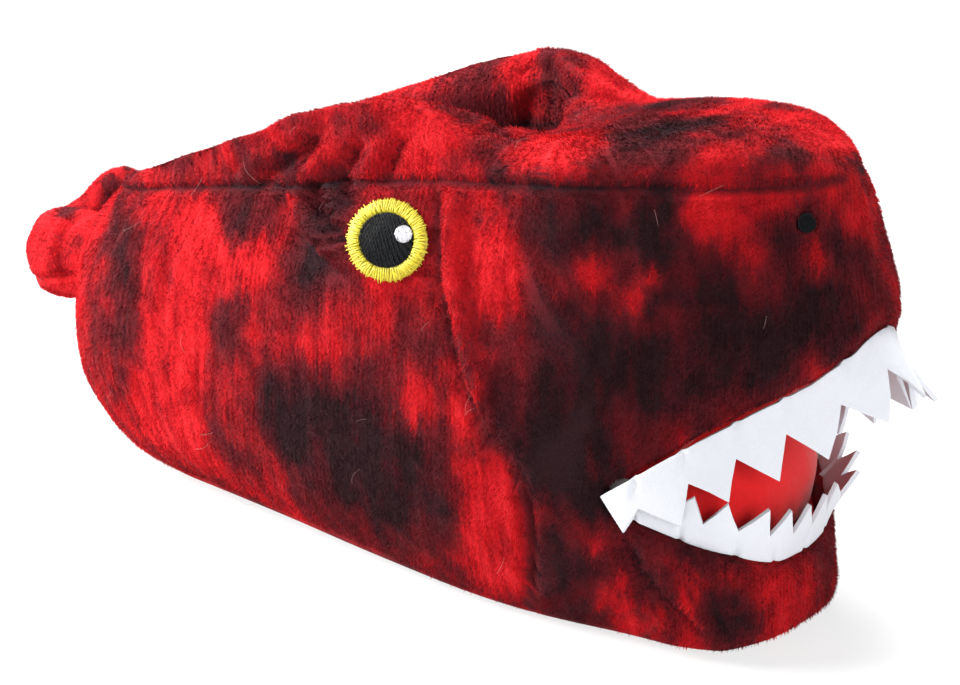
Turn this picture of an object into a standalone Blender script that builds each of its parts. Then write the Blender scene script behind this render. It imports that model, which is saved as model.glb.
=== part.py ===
"""Plush dinosaur slipper: a stuffed house slipper whose toe is a dinosaur's head.

Lengths are in millimetres and become metres where a mesh is made. The toe points along +X, the sole
stands on Z = 0, and the slipper is the same on both sides of Y = 0 but for its tail and lower jaw.
"""
from collections import namedtuple
from math import cos, pi, radians, sin

import bmesh
import bpy
import numpy as np
from mathutils import Vector
from mathutils.bvhtree import BVHTree

MM = 0.001

# Driving sizes
CENTRE_X = 134.97         # heel's back to the middle of the whole slipper, along the foot
COLUMNS = 72              # columns of the upper's wall around the foot
SOLE_THICK = 4.0
INSOLE_THICK = 4.0
GAP = 0.35                # space between neighbouring pieces
FELT_THICK = 1.4
LINING_THICK = 2.0
TOE_SPRING_START = 232.0
TOE_SPRING = 2.0          # lift of the sole at the tip of the toe
FLOOR_GAP = 1.0           # upper's lower edge above the floor
SOLE_EDGE_ROUND = 1.5
HEEL_ROUND = 0.160        # share of the length in which the heel closes
NOSE_ROUND = 0.275        # share of the length in which the snout closes

# A row for each level of the wall from sole edge to side seam: share of the seam's height, heel's back,
# nose's front, swell from the edge's half width (0) to the belly's (1), squareness of the nose from
# above (2 is an ellipse), thickness of the padded wall
Level = namedtuple("Level", "rise heel nose swell square wall")
LEVELS = (
    Level(0.00, 27.0, 280.0, 0.00, 2.9, 6.0),
    Level(0.04, 21.5, 282.0, 0.25, 2.8, 6.0),
    Level(0.11, 14.0, 281.0, 0.63, 2.7, 6.0),
    Level(0.22, 5.5, 279.5, 0.91, 2.5, 6.0),
    Level(0.40, -1.0, 283.5, 1.00, 2.35, 6.0),
    Level(0.56, -0.5, 291.0, 0.96, 2.2, 6.0),
    Level(0.70, 1.0, 296.0, 0.83, 2.0, 6.0),
    Level(0.82, 4.5, 291.0, 0.60, 2.0, 6.0),
    Level(0.92, 8.5, 287.0, 0.31, 1.95, 6.5),
    Level(1.00, 14.0, 283.0, 0.00, 1.9, 7.0),
)
JAW_SKEW = 13.0           # the lower jaw's tip is pushed this far to the right
JAW_FROM = 0.82           # share of the length where that starts
JAW_LOW = 0.28            # shares of the seam's height over which it fades
JAW_HIGH = 0.60
BELLY = 0.40              # share of the seam's height where the wall is widest

# A row for each station from heel (0) to nose (1): half widths at the sole's edge, the belly and the
# side seam, height of the side seam
Station = namedtuple("Station", "along foot belly seam height")
STATIONS = (
    Station(0.00, 25.0, 40.0, 30.5, 91.0),
    Station(0.12, 26.5, 42.0, 32.0, 95.5),
    Station(0.30, 33.5, 48.0, 36.5, 106.0),
    Station(0.50, 43.0, 55.0, 41.0, 118.0),
    Station(0.68, 49.0, 59.0, 45.0, 127.0),
    Station(0.82, 47.0, 57.0, 44.5, 130.0),
    Station(0.92, 44.0, 52.0, 42.0, 132.5),
    Station(1.00, 42.5, 48.0, 39.5, 133.5),
)

# A row for each station of the collar's ridge from its back (0) to the throat (1): half width of the
# opening, height of the ridge
Ridge = namedtuple("Ridge", "along half height")
COLLAR_BACK = 17.0
COLLAR_THROAT = 189.0
COLLAR_ROUND = 0.28       # share of the opening's length in which each end closes
RIDGES = (
    Ridge(0.00, 28.0, 92.0),
    Ridge(0.22, 31.5, 106.5),
    Ridge(0.45, 37.5, 122.0),
    Ridge(0.70, 43.0, 139.0),
    Ridge(0.82, 43.0, 143.0),
    Ridge(0.92, 42.0, 138.0),
    Ridge(1.00, 41.0, 133.0),
)

# A row for each station of the forehead's crown line, heel's back to nose
Crown = namedtuple("Crown", "x height")
CROWNS = (
    Crown(170.0, 131.0),
    Crown(192.0, 134.0),
    Crown(214.0, 140.0),
    Crown(236.0, 143.0),
    Crown(256.0, 144.5),
    Crown(267.0, 143.0),
    Crown(276.0, 139.5),
    Crown(283.0, 133.5),
)
CROWN_FROM = 168.0        # where the collar's arch turns into the forehead
CROWN_FULL = 199.0
CROWN_SQUARE = 2.8

# Steps from the seam over the head or collar to the ridge, as shares of the way across
ACROSS = (0.015, 0.05, 0.11, 0.20, 0.33, 0.50, 0.68, 0.84, 1.00)

INNER_STEP = 3            # every third step has a row on the inner face
REAR_TO = 0.62            # share of the length to which the inner face runs straight up to the curl
HEAD_FROM = 0.94          # share from which it keeps to the forehead's wall

# Steps past the ridge, down into the collar's inner face: way inward, way down
Curl = namedtuple("Curl", "inward down")
CURLS = (Curl(4.5, 1.2), Curl(8.0, 5.0), Curl(9.5, 11.0))

# The mound that carries each eye, on the side of the head
EYE_X = 159.5
EYE_Y = 45.0
EYE_Z = 103.0
MOUND_X = 148.0
MOUND_HEIGHT = 8.0
MOUND_AHEAD = 20.0
MOUND_BEHIND = 13.0
MOUND_TALL = 17.0

# Embroidered eye: radii of ring, pupil and glint, thickness of the stitching
EYE_RADIUS = 11.8
PUPIL_RADIUS = 8.0
GLINT_RADIUS = 2.7
GLINT_AHEAD = 4.9
GLINT_UP = 2.6
STITCH_THICK = 1.0
PATCH_REACH = 35.0        # stitching is laid on the face from no further off than this
EYE_TURN = 24.0           # turn of the eye towards the toe, degrees
EYE_TILT = 16.0           # turn of the eye upward, degrees
EYE_WIDE = 1.10           # width of the eye over its height
EYE_SIDES = 28

# Nostrils
NOSTRIL_X = 280.0
NOSTRIL_Y = 17.5
NOSTRIL_Z = 123.0
NOSTRIL_RADIUS = 2.6
NOSTRIL_OUT = (0.74, 0.59, 0.33)   # direction it looks in: ahead, aside, up
NOSTRIL_SIDES = 14

# The mouth from the side: its corner, and the lips' lines to past the snout
Lip = namedtuple("Lip", "x z")
MOUTH_CORNER = Lip(238.0, 46.5)
UPPER_LIP = (MOUTH_CORNER, Lip(262.0, 64.5), Lip(284.0, 79.5), Lip(290.5, 86.5),
             Lip(296.0, 95.5), Lip(325.0, 128.0))
LOWER_LIP = (MOUTH_CORNER, Lip(245.0, 38.5), Lip(257.0, 35.0), Lip(271.0, 30.0), Lip(281.0, 22.5),
             Lip(325.0, 2.0))
MOUTH_HALF = 80.0         # half width of the cut, past both cheeks

# Felt strips with teeth, one row for each jaw: lip line, way inside the wall's face at the front and at
# the corners, share of the lip's angle covered, teeth, whether the ends are tips (1) or not (0), heights
# of strip and teeth at the corners and at the front, outward lean at the front in degrees, how fast that
# fades to the corners, outward lean of the left side, side of the lip
Strip = namedtuple(
    "Strip",
    "name lip inside corner end teeth tips strip_side strip_front tooth_side tooth_front lean fade left side")
STRIPS = (
    Strip("upper_teeth", UPPER_LIP, 2.0, -1.9, 1.0, 12, 1, 8.5, 9.5, 8.5, 12.5, 44.0, 5, 58.0, -1),
    Strip("lower_teeth", LOWER_LIP, 2.2, 2.2, 0.89, 13, 0, 5.5, 8.0, 6.0, 8.5, 24.0, 3, 38.0, 1),
)
LEFT_RISE = (0.03, 0.40)  # shares of a strip's left half over which that lean comes and goes
LEFT_FALL = (0.60, 0.95)
HANG_SPAN = (0.62, 0.86)  # shares of a strip's half length over which it comes to hang outside the cheek
END_SPAN = (0.90, 1.0)    # shares of it over which its height tapers
END_TAPER = 0.30
LIP_CLEAR = 1.0           # felt's distance from the lip across the mouth
GAPE_MOST = 40.0          # no lips stand further apart than this
LIP_STEPS = 240           # steps in which a lip is followed around the snout and up the wall
LIP_SPAN = (0.02, 0.95)   # shares of the seam's height between which both lips lie
CORNER_SPAN = (0.3, 1.6)  # angles from the nose between which the mouth's corner lies
STRIP_ROWS = (0.0, 0.35, 0.70, 1.0)
TOOTH_STEPS = 4           # columns of a strip for each tooth

# Mouth lining: way inside the wall's face, the fold's place at the middle of the mouth, bulges of
# tongue and palate
LINING_INSIDE = 8.0
LINING_END = 0.86         # share of the lip's angle that the lining covers
FOLD_X = 257.0
FOLD_Z = 67.0
TONGUE_BULGE = 8.0
PALATE_BULGE = 3.0
LINING_COLUMNS = 21
LINING_ROWS = 6

# A row for each station of the tail from heel to tip: middle, radius
Tail = namedtuple("Tail", "share x y z radius")
TAILS = (
    Tail(0.00, -2.2, 0.0, 58.5, 13.0),
    Tail(0.15, -10.0, 0.0, 57.0, 15.5),
    Tail(0.32, -18.5, -0.5, 55.5, 15.8),
    Tail(0.48, -27.1, 6.0, 55.5, 13.8),
    Tail(0.62, -26.0, 15.0, 61.0, 9.4),
    Tail(0.76, -25.5, 23.0, 65.5, 6.9),
    Tail(0.89, -25.5, 28.0, 69.5, 7.9),
    Tail(1.00, -21.5, 31.5, 71.5, 7.8),
)
# A row for each height up the back of the heel: how far forward the heel's surface is there
Seat = namedtuple("Seat", "z x")
SEATS = (Seat(45.0, -0.75), Seat(52.0, -0.45), Seat(64.0, 0.95), Seat(72.0, 3.5))
SEAT_ROUND = 33.0           # radius of the heel's back seen from above
TAIL_GAP = 0.35             # between the tail's root and the heel
TAIL_ROOT = (0.06, 0.55)    # inner rings of the root's end as shares of its radius
TAIL_ROWS = 12
TAIL_SIDES = 14
TAIL_TIP = (0.9, 0.62, 0.25)   # radii of the rounded tip as shares of the last

# A row for each material: base colour, roughness
Finish = namedtuple("Finish", "name colour roughness")
PLUSH = Finish("plush", (0.50, 0.012, 0.016), 0.9)
DARK_SOLE = Finish("sole_fabric", (0.025, 0.025, 0.028), 0.8)
LINING = Finish("sock_lining", (0.035, 0.030, 0.032), 0.9)
RED_FELT = Finish("red_felt", (0.62, 0.012, 0.014), 0.9)
WHITE_FELT = Finish("white_felt", (0.80, 0.81, 0.84), 0.85)
YELLOW_THREAD = Finish("yellow_thread", (0.80, 0.68, 0.04), 0.5)
BLACK_THREAD = Finish("black_thread", (0.012, 0.013, 0.015), 0.45)
WHITE_THREAD = Finish("white_thread", (0.80, 0.80, 0.82), 0.5)


def steps(table):
    """A table's rows as an array, one column for each name."""
    return np.array(table, dtype=float)


def along(table, column, places):
    """Smooth values of a table's column at places along its first column."""
    rows = steps(table)
    knots = rows[:, 0]
    values = rows[:, column]
    slopes = np.gradient(values, knots)
    places = np.clip(places, knots[0], knots[-1])
    index = np.clip(np.searchsorted(knots, places, side="right") - 1, 0, len(knots) - 2)
    span = knots[index + 1] - knots[index]
    t = (places - knots[index]) / span
    return ((1 + 2 * t) * (1 - t) ** 2 * values[index] + t * (1 - t) ** 2 * span * slopes[index]
            + t ** 2 * (3 - 2 * t) * values[index + 1] - t ** 2 * (1 - t) * span * slopes[index + 1])


def smooth(value, low, high):
    t = np.clip((value - low) / (high - low), 0.0, 1.0)
    return t * t * (3 - 2 * t)


def spring(x):
    """Lift of the sole along the foot."""
    share = np.clip((x - TOE_SPRING_START) / (LEVELS[0].nose - TOE_SPRING_START), 0.0, 1.0)
    return TOE_SPRING * share ** 2


def closing(u, share, square):
    """Share of the half width left where a rounded end closes at u = 0."""
    return (1 - np.clip(1 - u / share, 0.0, 1.0) ** square) ** (1 / square)


def half_width(u, rise):
    edge = np.where(rise < BELLY, along(STATIONS, 1, u), along(STATIONS, 3, u))
    width = edge + (along(STATIONS, 2, u) - edge) * along(LEVELS, 3, rise)
    return width * closing(u, HEEL_ROUND, 2) * closing(1 - u, NOSE_ROUND, along(LEVELS, 4, rise))


def wall(theta, rise):
    """Point of the wall's outer face: angle around the foot from the nose, share of the seam's height."""
    u = (1 + np.cos(theta)) / 2
    heel = along(LEVELS, 1, rise)
    nose = along(LEVELS, 2, rise)
    x = heel + u * (nose - heel)
    skew = JAW_SKEW * smooth(u, JAW_FROM, 1.0) * (1 - smooth(rise, JAW_LOW, JAW_HIGH))
    y = -np.sign(np.sin(theta)) * half_width(u, rise) - skew
    floor = FLOOR_GAP + spring(x)
    return np.stack([x, y, floor + rise * (along(STATIONS, 4, u) - floor)], axis=-1)


def forehead(x, y):
    """Height of the head's top over the foot's plan."""
    u = (x - LEVELS[-1].heel) / (LEVELS[-1].nose - LEVELS[-1].heel)
    u = np.clip(u, 0.0, 1.0)
    half = np.maximum(half_width(u, np.ones_like(u)), 1e-6)
    side = np.clip(np.abs(y) / half, 0.0, 1.0)
    seam = along(STATIONS, 4, u)
    return seam + (along(CROWNS, 1, x) - seam) * (1 - side ** CROWN_SQUARE) ** (1 / CROWN_SQUARE)


def mound(points):
    """Points of the outer face with the eyes' mounds raised."""
    x = points[..., 0] - MOUND_X
    reach = np.where(x > 0, MOUND_AHEAD, MOUND_BEHIND)
    height = MOUND_HEIGHT * np.exp(-(x / reach) ** 2 - ((points[..., 2] - EYE_Z) / MOUND_TALL) ** 2)
    raised = points.copy()
    raised[..., 1] += np.sign(points[..., 1]) * height
    return raised


def angles():
    return np.arange(COLUMNS) * 2 * pi / COLUMNS


def outer_rows(theta):
    """Rows of the upper's outer face from the sole's edge to the end of the collar's curl."""
    rows = [mound(wall(theta, np.full_like(theta, level.rise))) for level in LEVELS]
    seam = rows[-1]
    turn = np.cos(theta)
    place = np.where(turn > 0, 1 - COLLAR_ROUND * (1 - turn), (1 - COLLAR_ROUND) * (1 + turn))
    half = along(RIDGES, 1, place) * closing(place, COLLAR_ROUND, 2) * closing(1 - place, COLLAR_ROUND, 2)
    ridge = np.stack([COLLAR_BACK + (COLLAR_THROAT - COLLAR_BACK) * place,
                      -np.sign(np.sin(theta)) * half, along(RIDGES, 2, place)], axis=-1)
    for share in ACROSS:
        row = seam + (ridge - seam) * share
        arch = seam[:, 2] + (ridge[:, 2] - seam[:, 2]) * (1 - (1 - share) ** 2) ** 0.5
        head = smooth(row[:, 0], CROWN_FROM, CROWN_FULL)
        row[:, 2] = arch + (forehead(row[:, 0], row[:, 1]) - arch) * head
        rows.append(row)
    inward = np.stack([-np.cos(theta), np.sin(theta), np.zeros_like(theta)], axis=-1)
    for curl in CURLS:
        rows.append(ridge + inward * curl.inward - np.array([0, 0, curl.down]))
    return np.array(rows)


def normals(rows):
    """Outward directions of a lattice of rows and columns closed around the foot."""
    up = np.gradient(rows, axis=0)
    side = np.roll(rows, -1, axis=1) - np.roll(rows, 1, axis=1)
    out = np.cross(up, side)
    return out / np.linalg.norm(out, axis=-1, keepdims=True)


def upper_rows():
    """All rows of the upper's wall: outer face, collar's curl, then the inner face down to the sole."""
    theta = angles()
    outer = outer_rows(theta)
    out = normals(outer)
    seam = len(LEVELS) - 1
    chosen = [*range(seam + 1), *range(seam + 2, seam + len(ACROSS), INNER_STEP)]
    thick = np.array([LEVELS[min(row, seam)].wall for row in chosen])
    inner = outer[chosen] - out[chosen] * thick[:, None, None]
    inner[0] = outer[0] + (inner[0] - outer[0]) * np.array([1, 1, 0])
    rear = 1 - smooth((1 + np.cos(theta)) / 2, REAR_TO, HEAD_FROM)
    for row in range(seam + 1, len(chosen)):
        share = (row - seam) / (len(chosen) - seam)
        straight = inner[seam] + (outer[-1] - inner[seam]) * share
        inner[row] += (straight - inner[row]) * rear[:, None]
    return np.concatenate([outer, inner[::-1]])


def material(finish):
    found = bpy.data.materials.get(finish.name)
    if found:
        return found
    made = bpy.data.materials.new(finish.name)
    made.use_nodes = True
    shader = made.node_tree.nodes["Principled BSDF"]
    shader.inputs["Base Color"].default_value = (*finish.colour, 1.0)
    shader.inputs["Roughness"].default_value = finish.roughness
    shader.inputs["Metallic"].default_value = 0.0
    return made


def make_object(name, build, finish, collection):
    """A named object from a bmesh, its faces turned outward, with its own material."""
    bmesh.ops.recalc_face_normals(build, faces=build.faces)
    bmesh.ops.translate(build, verts=build.verts, vec=(-CENTRE_X * MM, 0.0, 0.0))
    mesh = bpy.data.meshes.new(name)
    build.to_mesh(mesh)
    build.free()
    shape = bpy.data.objects.new(name, mesh)
    collection.objects.link(shape)
    mesh.materials.append(material(finish))
    return shape


def lattice(rows, close_columns=True, close_rows=False):
    """A bmesh of quads through a lattice of points in millimetres."""
    count, columns = rows.shape[:2]
    build = bmesh.new()
    verts = [[build.verts.new(Vector(point) * MM) for point in row] for row in rows]
    for row in range(count if close_rows else count - 1):
        above = verts[(row + 1) % count]
        for column in range(columns if close_columns else columns - 1):
            after = (column + 1) % columns
            build.faces.new((verts[row][column], verts[row][after], above[after], above[column]))
    return build, verts


def thicken(shape, thick, offset):
    sheet = shape.modifiers.new("thickness", "SOLIDIFY")
    sheet.thickness = thick * MM
    sheet.offset = offset
    sheet.use_even_offset = True


def cap_across(build, ring):
    """Close a ring that is the same on both sides of the foot with strips across it."""
    for column in range(len(ring) // 2):
        corners = (ring[column], ring[column + 1], ring[-column - 1], ring[-column])
        build.faces.new(list(dict.fromkeys(corners)))


def make_upper(slipper, cutters):
    """The padded wall: one hollow body, open at collar, mouth and underneath."""
    build, _ = lattice(upper_rows(), close_rows=True)
    upper = make_object("upper", build, PLUSH, slipper)
    profile = [*UPPER_LIP, *reversed(LOWER_LIP[1:])]
    build = bmesh.new()
    verts = [build.verts.new(Vector((lip.x, -MOUTH_HALF, lip.z)) * MM) for lip in profile]
    cut = bmesh.ops.extrude_face_region(build, geom=[build.faces.new(verts)])
    moved = [part for part in cut["geom"] if isinstance(part, bmesh.types.BMVert)]
    bmesh.ops.translate(build, verts=moved, vec=(0.0, 2 * MOUTH_HALF * MM, 0.0))
    cutter = make_object("mouth_cut", build, RED_FELT, cutters)
    cutter.hide_render = True
    cutter.display_type = "WIRE"
    mouth = upper.modifiers.new("mouth", "BOOLEAN")
    mouth.operation = "DIFFERENCE"
    mouth.object = cutter
    return upper


def inset(ring, way):
    """A closed outline moved inward in plan."""
    side = np.roll(ring, -1, axis=0) - np.roll(ring, 1, axis=0)
    inward = np.stack([-side[:, 1], side[:, 0], np.zeros(len(ring))], axis=-1)
    inward /= np.linalg.norm(inward, axis=-1, keepdims=True)
    middle = ring.mean(axis=0)
    facing = np.sign(((middle - ring) * inward).sum(axis=-1).sum())
    return ring + inward * facing * way


def make_slab(name, outline, low, thick, finish, slipper):
    """A flat piece of the sole through an outline, following the toe spring, its lower edge rounded."""
    lift = spring(outline[:, 0])
    rows = []
    for way, height in ((SOLE_EDGE_ROUND, 0.0), (0.0, SOLE_EDGE_ROUND), (0.0, thick)):
        ring = inset(outline, way)
        ring[:, 2] = low + height + lift
        rows.append(ring)
    build, verts = lattice(np.array(rows))
    cap_across(build, verts[0])
    cap_across(build, verts[-1])
    return make_object(name, build, finish, slipper)


def lip_height(line, x):
    lips = np.array(line)
    return np.interp(x, lips[:, 0], lips[:, 1])


def lip_points(line, theta, inside):
    """Points where the wall meets a lip's line, a way inside its outer face, with the face's normals."""
    rise = np.linspace(*LIP_SPAN, LIP_STEPS)
    spread = np.repeat(theta[:, None], len(rise), axis=1)
    face = wall(spread, np.repeat(rise[None, :], len(theta), axis=0))
    out = np.cross(np.gradient(face, axis=1), np.gradient(face, axis=0))
    out /= np.linalg.norm(out, axis=-1, keepdims=True)
    out *= np.sign((out * (face - face.mean(axis=(0, 1)))).sum())
    sunk = face - out * np.broadcast_to(inside, len(theta))[:, None, None]
    above = sunk[..., 2] - lip_height(line, sunk[..., 0])
    points = []
    for column, place, normal in zip(above, sunk, out):
        fit = [np.interp(0.0, column, values) for values in (*place.T, *normal.T)]
        points.append(fit)
    points = np.array(points)
    return points[:, :3], points[:, 3:] / np.linalg.norm(points[:, 3:], axis=-1, keepdims=True)


def corner_angle():
    """Angle around the foot, from the nose, where the lips meet on the cheek."""
    theta = np.linspace(*CORNER_SPAN, LIP_STEPS)
    cheek = wall(theta, np.full_like(theta, MOUTH_CORNER.z / STATIONS[-3].height))
    return float(theta[np.argmin(np.abs(cheek[:, 0] - MOUTH_CORNER.x))])


def spread_evenly(points, count):
    """Shares of a line's index range that are evenly spaced along its length."""
    length = np.concatenate([[0.0], np.cumsum(np.linalg.norm(np.diff(points, axis=0), axis=1))])
    return np.interp(np.linspace(0.0, length[-1], count), length, np.linspace(0.0, 1.0, len(points)))


def room(start, way):
    """Length along each direction that stays between the lips."""
    reach = np.linspace(0.0, GAPE_MOST, LIP_STEPS)
    track = start[:, None, :] + way[:, None, :] * reach[None, :, None]
    low = track[..., 2] - lip_height(LOWER_LIP, track[..., 0])
    high = lip_height(UPPER_LIP, track[..., 0]) - track[..., 2]
    outside = np.minimum(low, high) < LIP_CLEAR
    first = np.where(outside.any(axis=1), outside.argmax(axis=1), len(reach) - 1)
    return np.maximum(reach[first], LIP_CLEAR)


def make_teeth(strip, slipper):
    """A felt strip sewn into a lip, its free edge cut to teeth."""
    reach = corner_angle() * strip.end
    dense = np.linspace(-reach, reach, LIP_STEPS)
    places = spread_evenly(lip_points(strip.lip, dense, strip.inside)[0], strip.teeth * TOOTH_STEPS + 1)
    theta = -reach + 2 * reach * places
    hang = smooth(np.abs(theta) / reach, *HANG_SPAN)
    points, out = lip_points(strip.lip, theta, strip.inside + (strip.corner - strip.inside) * hang)
    run = np.gradient(points, axis=0)
    run /= np.linalg.norm(run, axis=-1, keepdims=True)
    down = np.cross(run, out)
    down *= np.sign(down[:, 2:3]) * strip.side
    front = 1 - np.clip(np.abs(theta) / reach, 0.0, 1.0) ** 2
    left = smooth(-theta / reach, *LEFT_RISE) * (1 - smooth(-theta / reach, *LEFT_FALL))
    lean = np.radians(np.maximum(strip.lean * front ** strip.fade, strip.left * left))
    way = down * np.cos(lean)[:, None] + out * np.sin(lean)[:, None]
    phase = (np.arange(len(theta)) + strip.tips * TOOTH_STEPS // 2) % TOOTH_STEPS / TOOTH_STEPS
    tooth = 1 - np.abs(2 * phase - 1)
    height = strip.strip_side + (strip.strip_front - strip.strip_side) * front
    height += tooth * (strip.tooth_side + (strip.tooth_front - strip.tooth_side) * front)
    start = points + way * (GAP + FELT_THICK / 2)
    height *= 1 - END_TAPER * smooth(np.abs(theta) / reach, *END_SPAN)
    free = (strip.corner < 0) & (hang > 0.99)
    height = np.where(free, height, np.minimum(height, room(start, way)))
    rows = np.array([start + way * (height * share)[:, None] for share in STRIP_ROWS])
    build, _ = lattice(rows, close_columns=False)
    shape = make_object(strip.name, build, WHITE_FELT, slipper)
    thicken(shape, FELT_THICK, 0.0)
    return shape


def make_lining(slipper):
    """The mouth's red panel: a tongue bulging up from the lower lip to a fold, and a palate above it."""
    reach = corner_angle() * LINING_END
    theta = np.linspace(-reach, reach, LINING_COLUMNS)
    lower, _ = lip_points(LOWER_LIP, theta, LINING_INSIDE)
    upper, _ = lip_points(UPPER_LIP, theta, LINING_INSIDE)
    middle = (lower + upper) / 2
    depth = (1 - np.abs(theta / reach) ** 2)[:, None]
    centre = LINING_COLUMNS // 2
    way = np.array([FOLD_X, 0.0, FOLD_Z]) - middle[centre]
    fold = middle + way * depth
    rows = []
    for share in np.linspace(0.0, 1.0, LINING_ROWS):
        bulge = np.array([TONGUE_BULGE, 0.0, 0.0]) * depth * 4 * share * (1 - share)
        rows.append(lower + (fold - lower) * share + bulge)
    for share in np.linspace(0.0, 1.0, LINING_ROWS)[1:]:
        bulge = np.array([0.0, 0.0, PALATE_BULGE]) * depth * 4 * share * (1 - share)
        rows.append(fold + (upper - fold) * share + bulge)
    build, _ = lattice(np.array(rows), close_columns=False)
    shape = make_object("mouth_lining", build, RED_FELT, slipper)
    thicken(shape, LINING_THICK, 1.0)
    return shape


def make_tail(slipper):
    """A stuffed tail that leaves the heel and curls up around its far side."""
    share = np.linspace(0.0, 1.0, TAIL_ROWS)
    middle = np.stack([along(TAILS, column, share) for column in (1, 2, 3)], axis=-1)
    radius = along(TAILS, 4, share)
    run = np.gradient(middle, axis=0)
    run[0] = (-1.0, 0.0, 0.0)
    run /= np.linalg.norm(run, axis=-1, keepdims=True)
    for shrink in TAIL_TIP:
        step = radius[TAIL_ROWS - 1] * (1 - shrink ** 2) ** 0.5
        middle = np.concatenate([middle, [middle[TAIL_ROWS - 1] + run[TAIL_ROWS - 1] * step]])
        run = np.concatenate([run, run[-1:]])
        radius = np.concatenate([radius, [radius[TAIL_ROWS - 1] * shrink]])
    turn = np.arange(TAIL_SIDES) * 2 * pi / TAIL_SIDES
    side = np.array([0.0, 1.0, 0.0])
    rings = []
    for centre, ahead, size in zip(middle, run, radius):
        side = side - ahead * np.dot(side, ahead)
        side /= np.linalg.norm(side)
        up = np.cross(ahead, side)
        rings.append(centre + size * (np.outer(np.cos(turn), side) + np.outer(np.sin(turn), up)))
    ends = []
    for part in (*TAIL_ROOT, 1.0):
        ring = middle[0] + (rings[0] - middle[0]) * part
        heel = np.interp(ring[:, 2], *zip(*SEATS)) + ring[:, 1] ** 2 / (2 * SEAT_ROUND)
        ring[:, 0] = heel - TAIL_GAP
        ends.append(ring)
    build, verts = lattice(np.array(ends + rings[1:]))
    build.faces.new(verts[0])
    build.faces.new(verts[-1])
    return make_object("tail", build, PLUSH, slipper)


def make_patch(name, tree, centre, out, radii, sides, lift, finish, slipper):
    """A round patch of stitching laid on the upper's face, between two radii."""
    across = Vector((0.0, 0.0, 1.0)).cross(out).normalized()
    up = out.cross(across)
    inner, outer = radii
    rings = [inner, (inner + outer) / 2, outer] if inner else [outer / 3, outer * 2 / 3, outer]
    rows = []
    for radius in rings:
        ring = []
        for turn in range(sides):
            angle = 2 * pi * turn / sides
            flat = across * cos(angle) * EYE_WIDE + up * sin(angle)
            start = centre + flat * radius + out * PATCH_REACH
            hit = tree.ray_cast(start * MM, -out)[0]
            ring.append(hit / MM + out * lift)
        rows.append(ring)
    build, verts = lattice(np.array(rows))
    if not inner:
        build.faces.new(verts[0])
    shape = make_object(name, build, finish, slipper)
    thicken(shape, STITCH_THICK, 1.0)
    return shape


def make_face(slipper):
    """Embroidered eyes and nostrils on both sides of the head."""
    build, _ = lattice(outer_rows(angles()))
    tree = BVHTree.FromBMesh(build)
    build.free()
    layer = STITCH_THICK + GAP
    for name, side in (("right", -1), ("left", 1)):
        turn = radians(EYE_TURN)
        tilt = radians(EYE_TILT)
        out = Vector((sin(turn) * cos(tilt), side * cos(turn) * cos(tilt), sin(tilt)))
        eye = Vector((EYE_X, side * EYE_Y, EYE_Z))
        make_patch("eye_ring_" + name, tree, eye, out, (PUPIL_RADIUS + GAP, EYE_RADIUS), EYE_SIDES,
                   GAP, YELLOW_THREAD, slipper)
        make_patch("eye_pupil_" + name, tree, eye, out, (0.0, PUPIL_RADIUS), EYE_SIDES,
                   GAP, BLACK_THREAD, slipper)
        glint = eye + Vector((GLINT_AHEAD * cos(turn), -side * GLINT_AHEAD * sin(turn), GLINT_UP))
        make_patch("eye_glint_" + name, tree, glint, out, (0.0, GLINT_RADIUS), NOSTRIL_SIDES,
                   layer + GAP, WHITE_THREAD, slipper)
        ahead, aside, above = NOSTRIL_OUT
        snout = Vector((ahead, side * aside, above)).normalized()
        make_patch("nostril_" + name, tree, Vector((NOSTRIL_X, side * NOSTRIL_Y, NOSTRIL_Z)), snout,
                   (0.0, NOSTRIL_RADIUS), NOSTRIL_SIDES, GAP, BLACK_THREAD, slipper)


def main():
    for shape in list(bpy.data.objects):
        bpy.data.objects.remove(shape)
    root = bpy.context.scene.collection
    slipper = bpy.data.collections.new("plush_dinosaur_slipper")
    cutters = bpy.data.collections.new("cutters")
    root.children.link(slipper)
    root.children.link(cutters)
    rows = upper_rows()
    make_slab("outsole", inset(rows[-1], GAP), 0.0, SOLE_THICK, DARK_SOLE, slipper)
    make_slab("insole", inset(rows[-1], GAP), SOLE_THICK + GAP, INSOLE_THICK, LINING, slipper)
    make_upper(slipper, cutters)
    make_lining(slipper)
    for strip in STRIPS:
        make_teeth(strip, slipper)
    make_tail(slipper)
    make_face(slipper)


main()
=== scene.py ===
"""Looks of a plush dinosaur slipper: mottled pile, felt teeth, sewn eyes and a soft studio around it.

Tables give lengths in millimetres, measured along the foot from the back of the heel.
"""
from collections import namedtuple
from math import cos, pi, radians, sin

import bmesh
import bpy
import numpy as np
from bpy.props import FloatProperty, FloatVectorProperty, PointerProperty
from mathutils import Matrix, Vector
from mathutils.bvhtree import BVHTree


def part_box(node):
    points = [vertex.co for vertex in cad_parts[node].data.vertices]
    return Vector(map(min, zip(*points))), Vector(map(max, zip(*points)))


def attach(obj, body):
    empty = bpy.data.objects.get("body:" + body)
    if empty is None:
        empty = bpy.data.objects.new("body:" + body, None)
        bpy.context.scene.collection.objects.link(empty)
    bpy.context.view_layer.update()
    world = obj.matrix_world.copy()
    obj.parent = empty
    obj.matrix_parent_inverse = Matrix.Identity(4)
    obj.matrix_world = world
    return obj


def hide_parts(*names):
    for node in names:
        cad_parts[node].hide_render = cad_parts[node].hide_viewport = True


bl_info = {
    "name": "Plush Dinosaur Slipper",
    "version": (1, 0, 0),
    "blender": (4, 5, 0),
    "location": "View3D > Sidebar > Slipper",
    "description": "Dresses the slipper's frame in plush, felt and embroidery",
    "category": "Object",
}

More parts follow.
